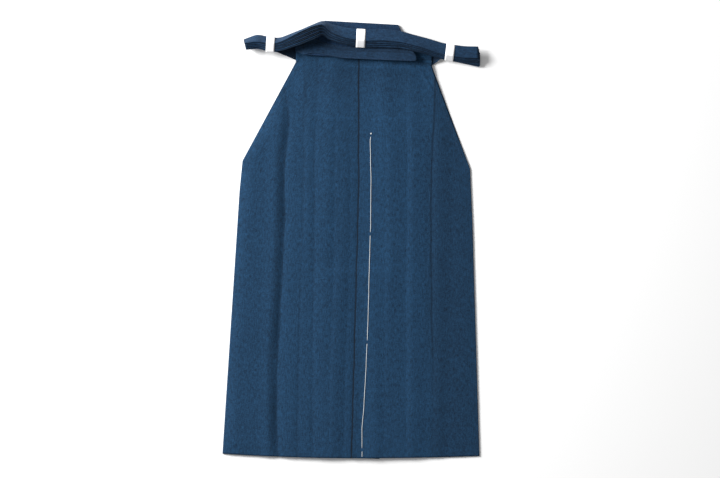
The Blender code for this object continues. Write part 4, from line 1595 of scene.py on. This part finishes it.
@dataclass
class Bundle:
    """The straps, folded to and fro in one pile across the waist."""

    shop: Workshop
    plan: Plan
    solid: Solid
    cloth: Material
    tape: Tape = Tape()
    lowest_level: int = -1
    top_level: int = 7
    reach: float = 22 * MM
    section_turn: float = 0.7
    step: float = 5 * MM
    turn_steps: int = 7
    root_sag: float = 1.2 * MM
    root_gap: float = -2.5 * MM  # below zero: sewn in between the waistband's two sides
    root_width: float = 34 * MM
    root_above: Pair = (3 * MM, 0.5 * MM)  # on the left, on the right
    root_places: Pair = (-194 * MM, 200 * MM)
    root_step: float = 4 * MM
    root_reach: float = 20 * MM  # a front strap's lowest layer starts this near its root
    crown_inset: float = 1.5 * MM
    slip: float = 0.9 * MM
    slip_length: float = 150 * MM
    lean: float = 0.1 * MM
    lean_length: float = 60 * MM
    between_layers_shade: float = 0.6  # painted shade on the faces that lie between two layers
    layer_shade_and_light: Pair = (0.5, 1.15)  # painted shade and light on every other layer's edge
    # Painted shadow on the front straps' roots
    root_shadow: float = 0.8

    def __post_init__(self) -> None:
        """Works out the pile's frames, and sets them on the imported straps."""
        self.places = np.array([station.x for station in STATIONS]) * MM
        outlines = np.array([station.outline for station in STATIONS]) * MM
        profile = self.tape.profile()
        levels = self.top_level - self.lowest_level
        rows = []
        for station in STATIONS:
            x, outline, tilt = station.x * MM, station.outline * MM, radians(station.tilt)
            slide = station.slide * MM / levels
            before = max(x - self.reach, self.places[0])
            after = min(x + self.reach, self.places[-1])
            low, high = np.interp((before, after), self.places, outlines)
            angle = self.section_turn * atan2(high - low, after - before)
            side = np.array((-sin(angle), cos(angle), 0.0))
            along = np.array((side[1], -side[0], 0.0))
            upright = np.array((0.0, 0.0, 1.0))
            width = side * cos(tilt) - upright * sin(tilt)
            normal = side * sin(tilt) + upright * cos(tilt)
            hop = normal * self.tape.pitch * station.loose + width * slide
            outer = levels * max(float(hop @ side), 0.0)
            outer += self.tape.width / 2.0 * cos(tilt)
            outer += self.tape.thickness / 2.0 * sin(tilt)
            first = np.array((x, outline, 0.0)) - side * outer
            face = first + hop * levels + normal * self.tape.thickness / 2.0
            face = face + self.crown_inset * np.sign(self.places.mean() - x) * along
            crown = (profile[:, 0] * width[2] + profile[:, 1] * normal[2]).max()
            first[2] = self.solid.crest(face, side, self.tape.width) - crown - levels * hop[2]
            rows.append(np.stack([first, hop, along, width, normal]))
        self.frames = np.array(rows)

    def frames_at(self, x: Array) -> Array:
        """The pile's frames between the table's rows.

        Args:
            x: Places along the pile.

        Returns:
            First centre, hop, along, width and normal at each place.
        """
        frames = softened(self.places, self.frames, x)
        frames[:, 2:] /= norm(frames[:, 2:], axis=2, keepdims=True)
        return frames

    def offset(self, level: int, x: Array) -> tuple[Array, Array]:
        """How far one layer has slipped from its place, across and through the pile."""
        slip = self.slip * wander(x, 70 + level, self.slip_length)
        return slip, self.lean * wander(x, 90 + level, self.lean_length)

    def section(self, level: int, x: Array, flip: int, profile: Array) -> Array:
        """Cross sections of one layer.

        Args:
            level: The layer's level.
            x: Places along the pile.
            flip: -1 where the strap's other face is on top.
            profile: Points round the section.

        Returns:
            The points of each section.
        """
        frames = self.frames_at(x)
        slip, lean = self.offset(level, x)
        centre = frames[:, 0] + frames[:, 1] * (level - self.lowest_level)
        centre = centre + frames[:, 3] * slip[:, None] + frames[:, 4] * lean[:, None]
        return (
            centre[:, None]
            + frames[:, None, 3] * profile[None, :, :1]
            + frames[:, None, 4] * profile[None, :, 1:] * flip
        )

    def turn(
        self, level: int, after: int, x: float, outward: int, flip: int, profile: Array
    ) -> Array:
        """Sections round the turn between two layers.

        Args:
            level: The level that the strap leaves.
            after: The level that it reaches.
            x: The end of the pile where it turns.
            outward: 1 at the right end, -1 at the left one.
            flip: -1 where the strap's other face is on top.
            profile: Points round the section.

        Returns:
            The points of each section.
        """
        here = np.array([x])
        first, hop, along, width, normal = self.frames_at(here)[0]
        (slip0,), (slip1,) = self.offset(level, here)[0], self.offset(after, here)[0]
        gap = float(hop @ normal) * (after - level)
        sections = []
        for step in range(1, self.turn_steps + 1):
            angle = pi * step / (self.turn_steps + 1)
            share = (1.0 - cos(angle)) / 2.0
            count = level - self.lowest_level + (after - level) * share
            centre = first + hop * count + along * outward * abs(gap) / 2.0 * sin(angle)
            centre = centre + width * (slip0 + (slip1 - slip0) * share)
            through = normal * cos(angle) - outward * along * sin(angle)
            sections.append(centre + width * profile[:, :1] + through * profile[:, 1:] * flip)
        return np.array(sections)

    def root_section(self, side: int) -> Array:
        """Where a front strap leaves the waistband's end.

        Args:
            side: -1 on the left, 1 on the right.

        Returns:
            The middle of its root.
        """
        corner = self.plan.waist_left if side < 0 else self.plan.waist_right
        low = corner[1] + self.root_above[int(side > 0)]
        x = corner[0] + side * self.root_gap
        return np.array((x, low + self.root_width / 2.0, self.tape.thickness / 2.0))

    def sections(self, route: Route, shrink: float) -> Array:
        """All the sections of one strap.

        Args:
            route: The strap's way.
            shrink: How far inside the outer face they lie.

        Returns:
            Its sections, one after another.
        """
        profile = self.tape.profile(shrink=shrink)
        found, flip = [], 1
        if route.root is not None:
            wide = self.tape.profile(self.root_width, shrink)
            flat = np.full((len(wide), 3), route.root)
            flat[:, 1:] += wide
            level, start, _ = route.runs[0]
            joined = self.section(level, np.array([start]), 1, profile)[0]
            for share in np.linspace(0.0, 1.0, self.root_steps(route), endpoint=False):
                bent = flat + (joined - flat) * share
                sag = min(self.root_sag, float(bent[:, 2].min()))
                bent[:, 2] -= sag * 4.0 * share * (1.0 - share)
                found.append(bent[None])
        for i, (level, start, end) in enumerate(route.runs):
            x = np.linspace(start, end, self.run_steps(start, end))
            found.append(self.section(level, x, flip, profile))
            if i + 1 < len(route.runs):
                outward = 1 if end > start else -1
                found.append(self.turn(level, route.runs[i + 1][0], end, outward, flip, profile))
                flip = -flip
        return np.concatenate(found)

    def run_steps(self, start: float, end: float) -> int:
        """How many sections one layer of the pile has."""
        return max(2, round(abs(end - start) / self.step))

    def root_steps(self, route: Route) -> int:
        """How many sections lead from the waistband into the pile."""
        return max(6, int(abs(route.runs[0][1] - route.root[0]) / self.root_step))

    def painted_shades(self, route: Route, outer: Array) -> Array:
        """Shares of the cloth's colour over one strap, as painted shade and light: darker between
        its layers and at its root.

        Args:
            route: The strap's way.
            outer: Its sections.

        Returns:
            One share for each point of each section.
        """
        levels, shares = [], []
        if route.root is not None:
            shares += [self.root_shadow] * self.root_steps(route)
            levels += [route.runs[0][0]] * len(shares)
        for i, (level, start, end) in enumerate(route.runs):
            count = self.run_steps(start, end)
            count += self.turn_steps if i + 1 < len(route.runs) else 0
            levels += [level] * count
            shares += [self.layer_shade_and_light[level % 2]] * count
        hidden = np.array(levels) < self.top_level
        painted_shades = np.where(hidden, shares, 1.0)[:, None] * np.ones(outer.shape[:2])
        across, around = self.tape.across, self.tape.across + self.tape.round_steps
        # Painted shade on the faces between layers
        for first in (1, around + 1):
            painted_shades[hidden, first : first + across - 2] *= self.between_layers_shade
        return painted_shades

    def routes(self) -> list[Route]:
        """The four straps' ways.

        Returns:
            Them, from the lowest strap to the top one.
        """
        left, right = float(self.places[0]), float(self.places[-1])
        root_left, root_right = self.root_places
        left_runs = (-1, root_left, left), (0, left, right), (1, right, left)
        right_runs = (-1, root_right, right), (2, right, left), (3, left, right)
        return [
            Route("front_strap_left", left_runs, self.root_section(-1)),
            Route("front_strap_right", right_runs, self.root_section(1)),
            Route("back_strap_left", ((4, left, right), (5, right, left))),
            Route("back_strap_right", ((6, right, left), (7, left, right))),
        ]

    def build(self) -> None:
        """All four straps, each on the one before it."""
        for route in self.routes():
            outer = self.sections(route, 0.0)
            inner = self.sections(route, self.tape.skin)
            painted_shades = self.painted_shades(route, outer)
            strap_piece(self.shop, route.name, outer, inner, self.cloth, painted_shades)

    def outline_points(self, x: float, reach: float) -> Array:
        """Points of every layer's outer face near one place of the pile.

        Args:
            x: The place.
            reach: How far to both sides they are taken.

        Returns:
            The points, one a row.
        """
        left, right = self.root_places
        at_end = x < left + self.root_reach or x > right - self.root_reach
        lowest = self.lowest_level if at_end else self.lowest_level + 1
        near = x + np.linspace(-reach, reach, 5)
        profile = self.tape.profile()
        levels = range(lowest, self.top_level + 1)
        found = [self.section(level, near, 1, profile) for level in levels]
        return np.concatenate(found).reshape(-1, 3)


STRAP_TINT = 0.05  # how much a strap's colour changes along it
STRAP_TINT_LENGTH = 180 * MM


def strap_piece(
    shop: Workshop,
    name: str,
    outer: Array,
    inner: Array,
    cloth: Material,
    tone: Array,
) -> None:
    """A strap as a flat tube of cloth, set on the garment's body.

    Args:
        shop: Where it is made.
        name: The strap's name, which is its solid's too.
        outer: Sections of its outer face.
        inner: Sections of its inner face.
        cloth: Its finish.
        tone: Share of the finish's colour at each point, as painted shade and light.
    """
    count, width = outer.shape[:2]
    faces = tube_faces(count, width)
    inside = [[i + count * width for i in face[::-1]] for face in faces]
    middle = outer.mean(axis=1)
    run = np.append(0.0, np.cumsum(norm(np.diff(middle, axis=0), axis=1)))
    section = outer[count // 2]
    round_it = norm(np.diff(section, axis=0, append=section[:1]), axis=1)
    u = np.tile(np.append(0.0, np.cumsum(round_it)[:-1]), (count, 1))
    uv = np.stack([u, np.repeat(run[:, None], width, axis=1)], axis=-1).reshape(-1, 2)
    tint = 1.0 + STRAP_TINT * wander(run, 5 + len(name), STRAP_TINT_LENGTH)
    shade = (np.repeat(tint[:, None], width, axis=1) * tone).ravel()
    points = np.concatenate([outer.reshape(-1, 3), inner.reshape(-1, 3)])
    piece = shop.mesh_object(
        name, points, faces + inside, cloth, np.tile(uv, (2, 1)), np.tile(shade, 2)
    )
    shop.hand_in(piece, Slot.STRAP, name)


@dataclass(frozen=True)
class BaseRow:
    """The strap's stretch across the board's base at one place: x, low and high y in mm."""

    x: float
    low: float
    high: float


BASE_ROWS = tuple(BaseRow(*row) for row in (
    (-151, 959, 977), (-140, 957, 980), (-130, 950, 983), (-118, 954, 989.5), (-104, 955, 989),
    (-84, 952, 980), (-62, 947, 975), (-40, 943, 971), (0, 941, 969), (46, 939, 967),
    (70, 938, 966), (118, 936, 965), (127, 936, 961), (132, 936, 955), (134, 937, 949),
))


@dataclass
class BaseStretch:
    """The back strap's stretch across the board's base, its right end folded under."""

    shop: Workshop
    solid: Solid
    cloth: Material
    slope: float
    tape: Tape = Tape()
    under_from: float = 80 * MM
    inside: float = 3 * MM
    step: float = 4 * MM
    turn_steps: int = 7
    under_steps: int = 14
    # Painted shadow of the pile over the whole stretch, and deeper painted shade on its upper part
    tone: float = 0.82
    upper_shade: float = 0.68
    crease: float = 5.0 * MM  # how far above its middle a painted shade line runs, where the strap was once folded
    crease_half: float = 2 * MM
    crease_shade: float = 0.3

    def __post_init__(self) -> None:
        """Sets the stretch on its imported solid."""
        self.places = np.array([row.x for row in BASE_ROWS]) * MM
        low = np.array([row.low for row in BASE_ROWS]) * MM
        high = np.array([row.high for row in BASE_ROWS]) * MM
        spots = np.clip(self.places, self.places[0] + self.inside, self.places[-1] - self.inside)
        tops = [self.solid.top(x, y) for x, y in zip(spots, (low + high) / 2.0)]
        z = np.array(tops) - self.tape.thickness / 2.0
        self.table = np.stack([low, high, z], axis=-1)

    def section(self, x: float, lift: float, flip: int, turn: float, shrink: float) -> Array:
        """One section of the stretch.

        Args:
            x: Its place.
            lift: How far it is raised.
            flip: -1 where the strap's other face is on top.
            turn: How far it is turned round the fold at the right end.
            shrink: How far inside the outer face it lies.

        Returns:
            Its points.
        """
        low, high, z = softened(self.places, self.table, np.array([x]))[0]
        if turn:
            z = self.table[-1, 2]
        profile = self.tape.profile(high - low, shrink)
        radius = self.tape.pitch / 2.0
        a, b = profile[:, 0], profile[:, 1] * flip
        out = x + radius * sin(turn) - b * sin(turn)
        up = z + lift + radius * (1.0 - cos(turn)) + b * cos(turn)
        return np.stack([out, (low + high) / 2.0 + a, up - self.slope * a], axis=-1)

    def sections(self, shrink: float) -> Array:
        """All its sections, from the folded-under end to the left one.

        Args:
            shrink: How far inside the outer face they lie.

        Returns:
            Its sections, one after another.
        """
        last = float(self.places[-1])
        found = []
        for x in np.linspace(self.under_from, last, self.under_steps):
            found.append(self.section(x, -self.tape.pitch, 1, 0.0, shrink))
        for step in range(1, self.turn_steps + 1):
            angle = pi * step / (self.turn_steps + 1)
            found.append(self.section(last, -self.tape.pitch, 1, angle, shrink))
        for x in np.arange(last, float(self.places[0]), -self.step):
            found.append(self.section(float(x), 0.0, -1, 0.0, shrink))
        return np.array(found)

    def build(self) -> None:
        """The stretch as a strap."""
        outer, inner = self.sections(0.0), self.sections(self.tape.skin)
        across = self.tape.profile()[:, 0]
        # Painted shadow and shade: darker on the upper part, darker still along the crease
        painted_shades = np.where(across > self.crease, self.upper_shade, self.tone)
        near = smooth(1.0 - np.abs(across - self.crease) / self.crease_half)
        painted_shades = painted_shades * (1.0 - self.crease_shade * near)
        strap_piece(self.shop, "back_strap_base", outer, inner, self.cloth, painted_shades)

    def seam(self, inset: float, upper: bool) -> Array:
        """A line of stitches near one of its edges.

        Args:
            inset: How far inside the edge it runs.
            upper: Whether that is the upper edge.

        Returns:
            Its points.
        """
        x = np.linspace(self.places[0] + 2 * MM, self.places[-2], 60)
        low, high, z = softened(self.places, self.table, x).T
        half = (high - low) / 2.0 - inset
        a = half if upper else -half
        rise = self.tape.thickness / 2.0 * (1.0 - self.tape.pillow) - self.tape.groove
        return np.stack([x, (low + high) / 2.0 + a, z + rise - self.slope * a], axis=-1)


# ---- Paper bands ----


@dataclass
class PaperBand:
    """A plain paper band round the pile of straps, glued over its own end."""

    shop: Workshop
    bundle: Bundle
    paper: Material
    name: str
    x: float
    width: float
    thickness: float = 0.3 * MM
    clearance: float = 0.3 * MM
    directions: int = 64
    overlap: int = 5
    across: int = 7
    crumple: float = 0.08 * MM
    lengths: Pair = (30 * MM, 90 * MM)  # of the crumpled paper's waves
    rates: Pair = (3.0, 5.0)
    seed: int = 23

    def outline(self, cloud: Array) -> Array:
        """The outline that touches a cloud of points all round.

        Args:
            cloud: The points, as (across, up).

        Returns:
            Its corners.
        """
        turns = np.linspace(0.0, tau, self.directions, endpoint=False)
        facing = np.stack([np.cos(turns), np.sin(turns)])
        reach = (cloud @ facing).max(axis=0) + self.clearance
        after, gap = np.roll(reach, -1), turns[1]
        following = turns + gap
        v = (reach * np.sin(following) - after * np.sin(turns)) / sin(gap)
        z = (after * np.cos(turns) - reach * np.cos(following)) / sin(gap)
        return np.stack([v, z], axis=-1)

    def build(self) -> None:
        """The band, round the layers' own outline."""
        first, _, along, _, _ = self.bundle.frames_at(np.array([self.x]))[0]
        side = np.array((-along[1], along[0], 0.0))
        points = self.bundle.outline_points(self.x, self.width / 2.0)
        cloud = np.stack([(points - first) @ side, points[:, 2]], axis=-1)
        ring = self.outline(cloud)
        start = self.directions * 3 // 4
        order = (start + np.arange(self.directions + self.overlap)) % self.directions
        lift = np.where(np.arange(len(order)) >= self.directions, 2.0 * self.thickness, 0.0)
        middle = ring.mean(axis=0)
        outward = ring[order] - middle
        outward /= norm(outward, axis=1, keepdims=True)
        path = ring[order] + outward * lift[:, None]
        share = np.linspace(-0.5, 0.5, self.across)
        grid = np.zeros((len(path), self.across, 3))
        base = np.array((first[0], first[1], 0.0))
        for column, place in enumerate(share):
            grid[:, column] = base + side * path[:, :1] + along * (place * self.width)
            grid[:, column, 2] = path[:, 1]
        along_it, round_it = grid[..., 0] * self.rates[0], path[:, None, 0] * self.rates[1]
        waves = ripple(along_it, round_it, self.seed, *self.lengths)
        grid += outward[:, None, :1] * side * (self.crumple * waves)[..., None]
        piece = shell(self.shop, f"paper_band_{self.name}", grid, self.paper, None, self.thickness)
        self.shop.hand_in(piece, Slot.PAPER, f"paper_band_{self.name}")


# ---- Sewing ----


@dataclass(frozen=True)
class StitchKind:
    """The sizes of one kind of stitch."""

    name: str
    pitch: float
    length: float
    radius: float
    seed: int = 1
    unevenness: float = 0.12

    def inputs(self) -> dict[str, float | int]:
        """The tree's inputs and their values."""
        return {
            "Pitch": self.pitch, "Length": self.length, "Radius": self.radius, "Seed": self.seed
        }

    def tree(self, thread: Material) -> NodeTree:
        """Geometry Nodes that lay stitches along the edges of a mesh.

        Args:
            thread: Their finish.

        Returns:
            The tree.
        """
        tree = bpy.data.node_groups.new(f"{self.name}_tree", "GeometryNodeTree")
        face = tree.interface
        face.new_socket("Geometry", in_out="INPUT", socket_type="NodeSocketGeometry")
        for label, value in self.inputs().items():
            kind = "NodeSocketInt" if label == "Seed" else "NodeSocketFloat"
            face.new_socket(label, in_out="INPUT", socket_type=kind).default_value = value
        face.new_socket("Geometry", in_out="OUTPUT", socket_type="NodeSocketGeometry")
        nodes = Nodes(tree)
        add = nodes.add
        given = add("NodeGroupInput").outputs
        curve = add("GeometryNodeMeshToCurve", {0: given["Geometry"]}).outputs[0]
        along = {"Curve": curve, "Length": given["Pitch"]}
        spaced = add("GeometryNodeResampleCurve", along, mode="LENGTH").outputs[0]
        bead = add("GeometryNodeMeshUVSphere", {"Segments": 6, "Rings": 4, "Radius": 1.0})
        tangent = add("GeometryNodeInputTangent").outputs[0]
        turn = add("FunctionNodeAlignRotationToVector", {"Vector": tangent}, axis="Z")
        half = nodes.maths("MULTIPLY", given["Length"], 0.5)
        size = add("ShaderNodeCombineXYZ", {0: given["Radius"], 1: given["Radius"], 2: half})
        low, high = 1.0 - self.unevenness, 1.0 + self.unevenness
        spread = {"Min": low, "Max": high, "Seed": given["Seed"]}
        uneven = add("FunctionNodeRandomValue", spread, data_type="FLOAT").outputs[1]
        by = {0: size.outputs[0], "Scale": uneven}
        scale = add("ShaderNodeVectorMath", by, operation="SCALE").outputs[0]
        laid = add("GeometryNodeInstanceOnPoints", {
            "Points": spaced, "Instance": bead.outputs["Mesh"],
            "Rotation": turn.outputs[0], "Scale": scale,
        })
        real = add("GeometryNodeRealizeInstances", {0: laid.outputs[0]}).outputs[0]
        finish = add("GeometryNodeSetMaterial", {"Geometry": real, "Material": thread})
        add("NodeGroupOutput", {0: finish.outputs[0]})
        return tree


@dataclass
class Sewing:
    """The stitches that show, laid along lines of the plan."""

    shop: Workshop

    def row(self, name: str, lines: Sequence[Array], kind: StitchKind, thread: Material) -> None:
        """Rows of one kind of stitch, set on the garment's body as one piece.

        Args:
            name: The piece's name.
            lines: The lines that they follow, as points of the plan.
            kind: Their sizes.
            thread: Their finish.
        """
        points, edges = [], []
        for line in lines:
            first = len(points)
            points += (np.asarray(line) + (*self.shop.shift, 0.0)).tolist()
            edges += [(first + i, first + i + 1) for i in range(len(line) - 1)]
        mesh = bpy.data.meshes.new(f"{name}_lines")
        mesh.from_pydata(points, edges, [])
        guide = new_object(f"{name}_lines", mesh)
        modifier = guide.modifiers.new("stitches", "NODES")
        modifier.node_group = kind.tree(thread)
        values = kind.inputs()
        for item in modifier.node_group.interface.items_tree:
            if item.item_type == "SOCKET" and item.in_out == "INPUT" and item.name in values:
                modifier[item.identifier] = values[item.name]
        graph = bpy.context.evaluated_depsgraph_get()
        made = bpy.data.meshes.new_from_object(guide.evaluated_get(graph))
        made.name = name
        bpy.data.objects.remove(guide, do_unlink=True)
        made.shade_smooth()
        self.shop.hand_in(new_object(name, made), None)


@dataclass
class Basting:
    """The long white stitches that hold the back pleat shut until the garment is worn."""

    shop: Workshop
    panels: Panels
    thread: Material
    # The line they follow, (x, y) in mm from the hem up
    line: tuple[Pair, ...] = (
        (7.8, 0), (7.8, 71), (12.5, 127), (17.2, 212), (22.0, 325), (25.5, 467),
        (28.2, 552), (29.0, 665), (27.0, 748), (29.0, 765.5),
    )
    # Where each long stitch starts and ends, y in mm
    floats: tuple[Pair, ...] = ((758, 533), (525, 278), (270, 24), (16, 3))
    radius: float = 0.55 * MM
    sides: int = 8
    step: float = 4 * MM
    least: int = 8
    sway: float = 0.25 * MM
    sway_length: float = 90 * MM
    dip: float = 1.6  # how far its ends go down, in radii
    dip_length: float = 6 * MM
    knot_radius: float = 1.1 * MM
    knot_turn: float = 4.6 * pi
    knot_steps: int = 40
    tail: Pair = (1.2 * MM, 1.0 * MM)

    def tube(self, path: Array) -> tuple[Array, list]:
        """A round thread along a path.

        Args:
            path: Its points.

        Returns:
            The thread's points and faces.
        """
        tangent = np.gradient(path, axis=0)
        tangent /= norm(tangent, axis=1, keepdims=True)
        across = np.cross(tangent, (0.0, 0.0, 1.0))
        across /= np.maximum(norm(across, axis=1, keepdims=True), TINY)
        up = np.cross(across, tangent)
        turns = np.linspace(0.0, tau, self.sides, endpoint=False)
        rings = (
            path[:, None]
            + across[:, None] * np.cos(turns)[None, :, None] * self.radius
            + up[:, None] * np.sin(turns)[None, :, None] * self.radius
        )
        return rings.reshape(-1, 3), tube_faces(len(path), self.sides)

    def long_stitch(self, start: float, end: float) -> Array:
        """The path of one long stitch, which dips into the cloth at its ends.

        Args:
            start: y where it starts, in mm.
            end: y where it ends.

        Returns:
            Its points.
        """
        count = max(self.least, int(abs(end - start) * MM / self.step))
        y = np.linspace(start, end, count) * MM
        sway = self.sway * wander(y, 3, self.sway_length)
        x = broken_line(self.line, y / MM) * MM + sway
        path = self.panels.line_on("back_right_over", x, y)
        away = np.minimum(np.arange(count), np.arange(count)[::-1]) * self.step
        dip = self.dip * (1.0 - smooth(away / self.dip_length))
        path[:, 2] += self.radius * (1.0 - dip)
        return path

    def knot(self) -> Array:
        """Two small loops and a loose end, at the top.

        Returns:
            The points of their path.
        """
        x, y = self.line[-1][0] * MM, self.line[-1][1] * MM
        turns = np.linspace(0.0, self.knot_turn, self.knot_steps)
        growth = np.linspace(0.8, 1.15, self.knot_steps)
        loop_x = x + self.knot_radius * growth * np.cos(turns)
        loop_y = y + self.knot_radius * growth * np.sin(turns)
        tail = np.linspace(0.0, 1.0, 8)[1:]
        loop_x = np.append(loop_x, loop_x[-1] + self.tail[0] * tail)
        loop_y = np.append(loop_y, loop_y[-1] + self.tail[1] * tail)
        path = self.panels.line_on("back_right_over", loop_x, loop_y)
        path[:, 2] += self.radius * (1.5 + 0.5 * np.sin(0.5 * np.arange(len(path))))
        return path

    def build(self) -> None:
        """All the long stitches and the knot, as one piece."""
        paths = [self.long_stitch(*ends) for ends in self.floats] + [self.knot()]
        points, faces = [], []
        for path in paths:
            found, sides = self.tube(path)
            first = sum(len(part) for part in points)
            points.append(found)
            faces += [[i + first for i in face] for face in sides]
        piece = self.shop.mesh_object("basting_thread", np.concatenate(points), faces, self.thread)
        self.shop.hand_in(piece, None)


# ---- Studio ----


@dataclass
class Studio:
    """A pale floor, soft light from the upper left, and a camera straight above."""

    aim: Pair = (21.2 * MM, 0.0)
    view_width: float = 1.699
    lens: float = 200.0
    sensor: float = 36.0
    floor_size: float = 14.0
    floor_z: float = -0.15 * MM
    floor_colour: Colour = (0.96, 0.96, 0.96)
    key_place: tuple[float, float, float] = (-3.20, 1.60, 1.95)
    key_size: float = 2.4
    key_power: float = 372.0
    sky: float = 0.36

    def floor(self) -> None:
        """The surface that the garment lies on."""
        half = self.floor_size / 2.0
        mesh = bpy.data.meshes.new("floor")
        corners = [(-half, -half), (half, -half), (half, half), (-half, half)]
        mesh.from_pydata([(x, y, self.floor_z) for x, y in corners], [], [[0, 1, 2, 3]])
        nodes = MaterialNodes("floor_white")
        nodes.surface(
            Base_Color=(*self.floor_colour, 1.0), Roughness=0.9, Specular_IOR_Level=0.1
        )
        mesh.materials.append(nodes.material)
        new_object("floor", mesh)

    def lights(self) -> None:
        """A soft box to the upper left, and an even sky."""
        lamp = bpy.data.lights.new("key", "AREA")
        lamp.shape = "DISK"
        lamp.size = self.key_size
        lamp.energy = self.key_power
        key = new_object("key", lamp)
        key.location = self.key_place
        aim = Vector((0.0, 0.0, 0.0)) - key.location
        key.rotation_euler = aim.to_track_quat("-Z", "Y").to_euler()
        key.visible_camera = False
        world = bpy.data.worlds.new("sky")
        world.use_nodes = True
        backdrop = world.node_tree.nodes["Background"]
        backdrop.inputs["Color"].default_value = (1.0, 1.0, 1.0, 1.0)
        backdrop.inputs["Strength"].default_value = self.sky
        bpy.context.scene.world = world

    def camera(self) -> None:
        """The camera, straight above, with the waist at the top of its picture."""
        data = bpy.data.cameras.new("camera")
        data.lens, data.sensor_width = self.lens, self.sensor
        made = new_object("camera", data)
        made.location = (*self.aim, self.view_width * self.lens / self.sensor)
        bpy.context.scene.camera = made
        bpy.context.scene.view_settings.view_transform = "Standard"


# ---- The whole garment ----


SEAM_POINTS = 90
OPENING_BELOW = 4 * MM  # how far below an opening's foot its stitches start
OPENING_TOP = 922 * MM


def opening_seam(panels: Panels, side: int, inset: float) -> Array:
    """The stitched hem of a side opening on the back.

    Args:
        panels: The panels.
        side: -1 on the left, 1 on the right.
        inset: How far inside the edge it runs.

    Returns:
        Its points.
    """
    plan = panels.plan
    foot, edge, layer = (
        (plan.opening_foot_left, plan.left_side, "back_left"),
        (plan.opening_foot_right, plan.right_side, "back_right_over"),
    )[side > 0]
    y = np.linspace(foot[1] - OPENING_BELOW, OPENING_TOP, SEAM_POINTS)
    return panels.line_on(layer, edge(y, True) - side * inset, y)


def hem_seam(panels: Panels, layer: str, first: float, last: float, above: float) -> Array:
    """The hem's own small stitches on one back panel.

    Args:
        panels: The panels.
        layer: The panel's layer.
        first: x where they start.
        last: x where they end.
        above: How far above the edge they run.

    Returns:
        Points of their line.
    """
    x = np.linspace(first, last, SEAM_POINTS)
    y = panels.plan.hem_y(x) * (1.0 - above / panels.plan.hem_fade) + above
    return panels.line_on(layer, x, y)


def main() -> None:
    """Builds every piece, from the surface up."""
    logging.basicConfig(level=logging.INFO, format="%(message)s")
    plan = Plan()
    shift = (CAD_LOW.x - plan.hem_left_x, CAD_LOW.y)
    shop = Workshop(shift)
    cloth = ClothFinish("navy_cloth", (0.0082, 0.0352, 0.0795)).build()
    strap_cloth = ClothFinish("navy_strap_cloth", (0.0090, 0.0305, 0.0690)).build()
    board_cloth = ClothFinish("navy_board_cloth", (0.0072, 0.0250, 0.0612)).build()
    paper = PaperFinish("white_paper").build()
    white_thread = ThreadFinish("white_thread", (0.62, 0.65, 0.66)).build()
    navy_thread = ThreadFinish("navy_thread", (0.013, 0.040, 0.088)).build()

    back = Relief(plan, BACK_CREASES, BACK_MARKS, first_height=4.8, first_fall=25.0)
    front = Relief(plan, (), FRONT_MARKS, first_height=0.0, first_fall=30.0)
    panels = Panels(shop, plan, Pile(plan), back, front, cloth)
    panels.build_front()
    panels.build_inner_legs()
    panels.build_waistband()
    panels.build_back()

    board = Board(shop, plan, Solid("back_board", shift), board_cloth)
    board.build()
    stretch = BaseStretch(shop, Solid("back_strap_base", shift), strap_cloth, board.slope)
    stretch.build()
    bundle = Bundle(shop, plan, Solid("back_strap_right", shift), strap_cloth)
    bundle.build()
    for name, x, width in (
        ("left", -207 * MM, 19.5 * MM),
        ("centre", 6 * MM, 21 * MM),
        ("right", 217 * MM, 20 * MM),
    ):
        PaperBand(shop, bundle, paper, name, x, width).build()

    sewing = Sewing(shop)
    running = StitchKind("running", 3.4 * MM, 2.3 * MM, 0.24 * MM)
    blind = StitchKind("blind", 13 * MM, 1.5 * MM, 0.22 * MM)
    sewing.row("board_stitches", [board.seam()], running, navy_thread)
    edges = [stretch.seam(2.4 * MM, upper) for upper in (True, False)]
    sewing.row("base_strap_stitches", edges, running, navy_thread)
    openings = [opening_seam(panels, side, 9 * MM) for side in (-1, 1)]
    sewing.row("opening_stitches", openings, running, navy_thread)
    hems = [
        hem_seam(panels, "back_left", -312 * MM, -22 * MM, 33 * MM),
        hem_seam(panels, "back_right_over", -10 * MM, 276 * MM, 33 * MM),
    ]
    sewing.row("hem_stitches", hems, blind, navy_thread)
    Basting(shop, panels, white_thread).build()

    studio = Studio()
    studio.floor()
    studio.lights()
    studio.camera()


if __name__ == "__main__":
    main()
